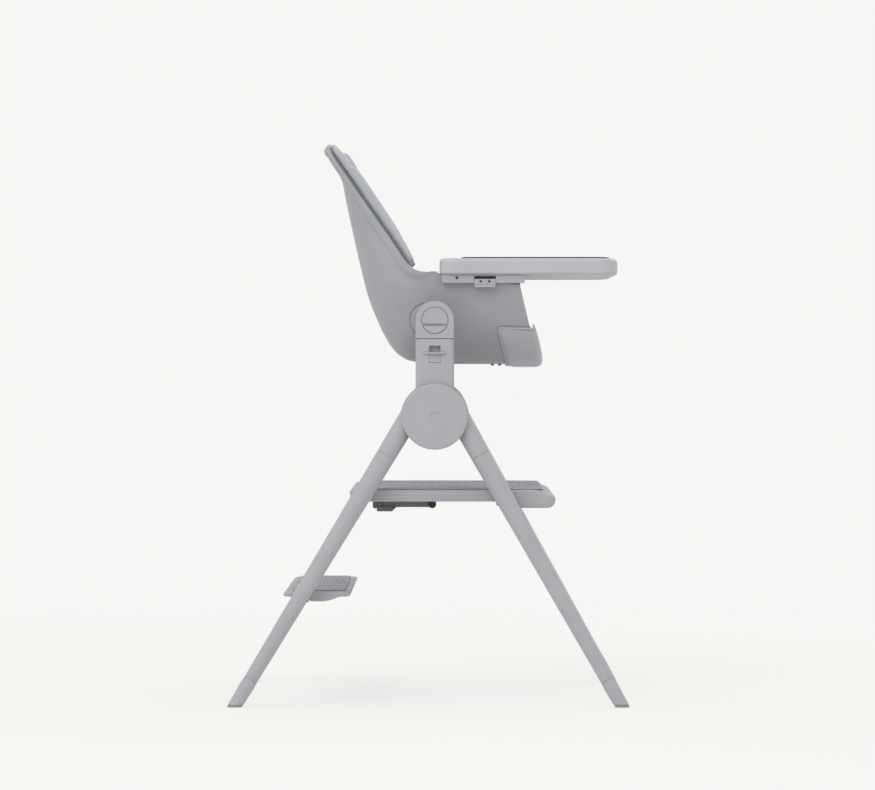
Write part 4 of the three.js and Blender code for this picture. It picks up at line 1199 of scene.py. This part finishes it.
# %% [markdown]
# ## Small parts
#
# The eye trusts an object that has its small parts: dark caps on the release rod's ends and a
# finger plate beside each, a dark disc in each of the two sight holes of each tray tab as painted
# shade inside the hole, a screw head in each rail, a raised ring on the hub's disc and the clips
# that hold the flap under the shell. Each is a turned shape or a small rounded slab.

# %% Small parts
bail_low, bail_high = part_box("release_bail")
bail_x, bail_z = bail_high.x / MM - 6.2, (bail_low.z + bail_high.z) / 2 / MM
tab_low, tab_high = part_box("tray_tab_left")
rail_low, rail_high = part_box("tray_rail_left")
cover_low, cover_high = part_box("hub_cover_left")
hub = [(cover_low.x + cover_high.x) / 2 / MM, cover_high.y / MM, (cover_low.z + cover_high.z) / 2 / MM]
for word, side in SIDES:
    cap = lathe([(0.5, -6), (6.9, -6), (7.0, 1.0), (6.2, 2.2), (4.6, 2.4), (4.0, 1.4), (0.5, 1.2)],
                (bail_x, bail_high.y / MM, bail_z), 32)
    ride_piece(f"bail_cap_{word}", *sided(cap, side), shade_and_black_plastic, "bail", "dark_steel", (), FLOOR)
    tab_x, tab_z = bail_low.x / MM, bail_low.z / MM
    plan = outline([[tab_x + 1, tab_z - 6.5, 2], [tab_x + 28, tab_z - 6.5, 2.5], [tab_x + 36, tab_z + 2, 2],
                    [tab_x + 1, tab_z + 3, 2]], 5)
    finger = slab(plan, bail_high.y / MM - 16, bail_high.y / MM - 1, 1.0)
    ride_piece(f"bail_finger_{word}", *sided(finger, side), steel_paint, "bail", "dark_steel", (), FLOOR)
    face = tab_high.y / MM - 2.5
    # A dark disc in each of the tab's two sight holes: painted shade inside the holes.
    hole_shades = several(*[lathe([(0.4, -1), (2.1, -1), (2.1, 0.15), (1.8, 0.35), (0.4, 0.3)],
                           (x, face, tab_high.z / MM - 4.2), 20)
                     for x in (tab_low.x / MM + 11, tab_low.x / MM + 26)])
    ride_piece(f"tab_hole_shades_{word}", *sided(hole_shades, side), shade_and_black_plastic, f"tray_tab_{word[0]}", "dark_steel", (),
               FLOOR)
    screw = lathe([(0.4, -1), (2.6, -1), (2.6, 0.1), (2.2, 0.4), (0.4, 0.4)],
                  (rail_low.x / MM + 26, rail_high.y / MM, rail_high.z / MM - 5), 24)
    ride_piece(f"rail_screw_{word}", *sided(screw, side), shade_and_black_plastic, "tray", "dark_steel", (), FLOOR)
    ring = lathe([(8.6, -1.2), (8.6, -0.1), (9.2, 0.25), (10.0, 0.25), (10.6, -0.1), (10.6, -1.2)], hub, 48)
    ride_piece(f"hub_ring_{word}", *sided(ring, side), frame_plastic, "stand", "frame_plastic", (), FLOOR)
    clips = [slab(outline(rectangle(x, x + 5, -77.8, -74.2, 1.2), 4), side * 30 - 6, side * 30 + 6, 0.8)
             for x in (99, 112)]
    ride_piece(f"flap_clips_{word}", *several(*clips), buckle_plastic, "seat", "buckle_plastic")

# %% [markdown]
# ## Painted shadow lines at the joints
#
# Where two mouldings meet, a hairline gap falls into shadow. A gap of a third of a millimetre is
# too thin to show that shadow from a few metres, so each is backed by a fine dark bead that follows
# the joint and paints the shadow: round the button and the cap in the head, across the post, round
# the latch plate and along the rear of the boss. The slot over each tray tab gets a thin dark slab,
# painted shade where the slot is deep.

# %% Joint lines
BUTTON_RADIUS, BUTTON_CHORD, CAP_CHORD = 22.65, -6.45, -8.65
LATCH_HALF = 9.35


def bead(path, y, radius=0.6):
    """A fine bead along a path seen from the side, here a painted shadow line along a joint."""
    return tube([(a, y, b) for a, b in path], radius, 6)


def disc_part(radius, level, above):
    """The part of a disc's outline above or below a level, as a closed path."""
    start = math.asin(level / radius)
    turns = (start, math.pi - start) if above else (math.pi - start, 2 * math.pi + start)
    arc = [(radius * math.cos(a), radius * math.sin(a)) for a in np.linspace(*turns, 40)]
    return arc + [(arc[-1][0] + (arc[0][0] - arc[-1][0]) * f, arc[0][1]) for f in (0.25, 0.5, 0.75, 1)]


def seat_box(name):
    """A CAD node's two far corners in millimetres from the recline axis."""
    return [(c - Vector(AXIS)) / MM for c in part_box(name)]


boss_low, boss_high = seat_box("pivot_boss_left")
boss_x, boss_z = (boss_low.x + boss_high.x) / 2, (boss_low.z + boss_high.z) / 2
reach = (boss_high.z - boss_low.z) / 2 - 0.5
head_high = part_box("pivot_head_left")[1]
face = (head_high.y - AXIS[1]) / MM
plate_low, plate_high = seat_box("seat_latch_left")
post_top = (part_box("support_post_left")[1].z - AXIS[2]) / MM
for word, side in SIDES:
    # Dark beads round the button and the cap in the head: painted shadow in the joints.
    button = bead(disc_part(BUTTON_RADIUS, BUTTON_CHORD, True), face - 0.1)
    cap = bead(disc_part(BUTTON_RADIUS, CAP_CHORD, False), face - 0.1)
    ride_piece(f"button_shadow_line_{word}", *sided(several(button, cap), side), shade_and_black_plastic, "heads",
               "frame_plastic", crease=180)
    # A dark bead along the rear of the boss: painted shadow in the joint.
    turns = np.linspace(0.55 * math.pi, 1.45 * math.pi, 40)
    edge = [(boss_x + reach * math.cos(a), boss_z + reach * math.sin(a)) for a in turns]
    ride_piece(f"boss_shadow_line_{word}", *sided(bead(edge, boss_high.y - 0.2, 0.5), side), shade_and_black_plastic, "seat",
               "shell_plastic", crease=180)
    # Dark beads across the post top and round the latch plate: painted shadow in the joints.
    across = bead([(-32, post_top + 0.15), (0, post_top + 0.15), (32, post_top + 0.15)], face - 0.25)
    low, high = plate_low.z - 0.15, plate_high.z - 2
    sides = [(-LATCH_HALF, high), (-LATCH_HALF, low), (LATCH_HALF, low), (LATCH_HALF, high)]
    latch = bead(sides, face - 0.2, 0.5)
    ride_piece(f"post_shadow_line_{word}", *sided(several(across, latch), side), shade_and_black_plastic, "stand",
               "frame_plastic", crease=180)
    # A thin dark slab in the slot over the tab: painted shade where the slot is deep.
    x0, x1 = (tab_low.x - AXIS[0]) / MM + 0.5, (tab_high.x - AXIS[0]) / MM - 0.5
    rail_y = (rail_low.y - AXIS[1]) / MM + 2.9
    top = (rail_high.z - AXIS[2]) / MM - 2.3
    window_shade = slab(outline(rectangle(x0, x1, top - 4.6, top, 1), 3), rail_y - 0.3, rail_y + 0.25, 0.1)
    ride_piece(f"tab_track_{word}", *sided(window_shade, side), shade_and_black_plastic, "tray", "frame_plastic")
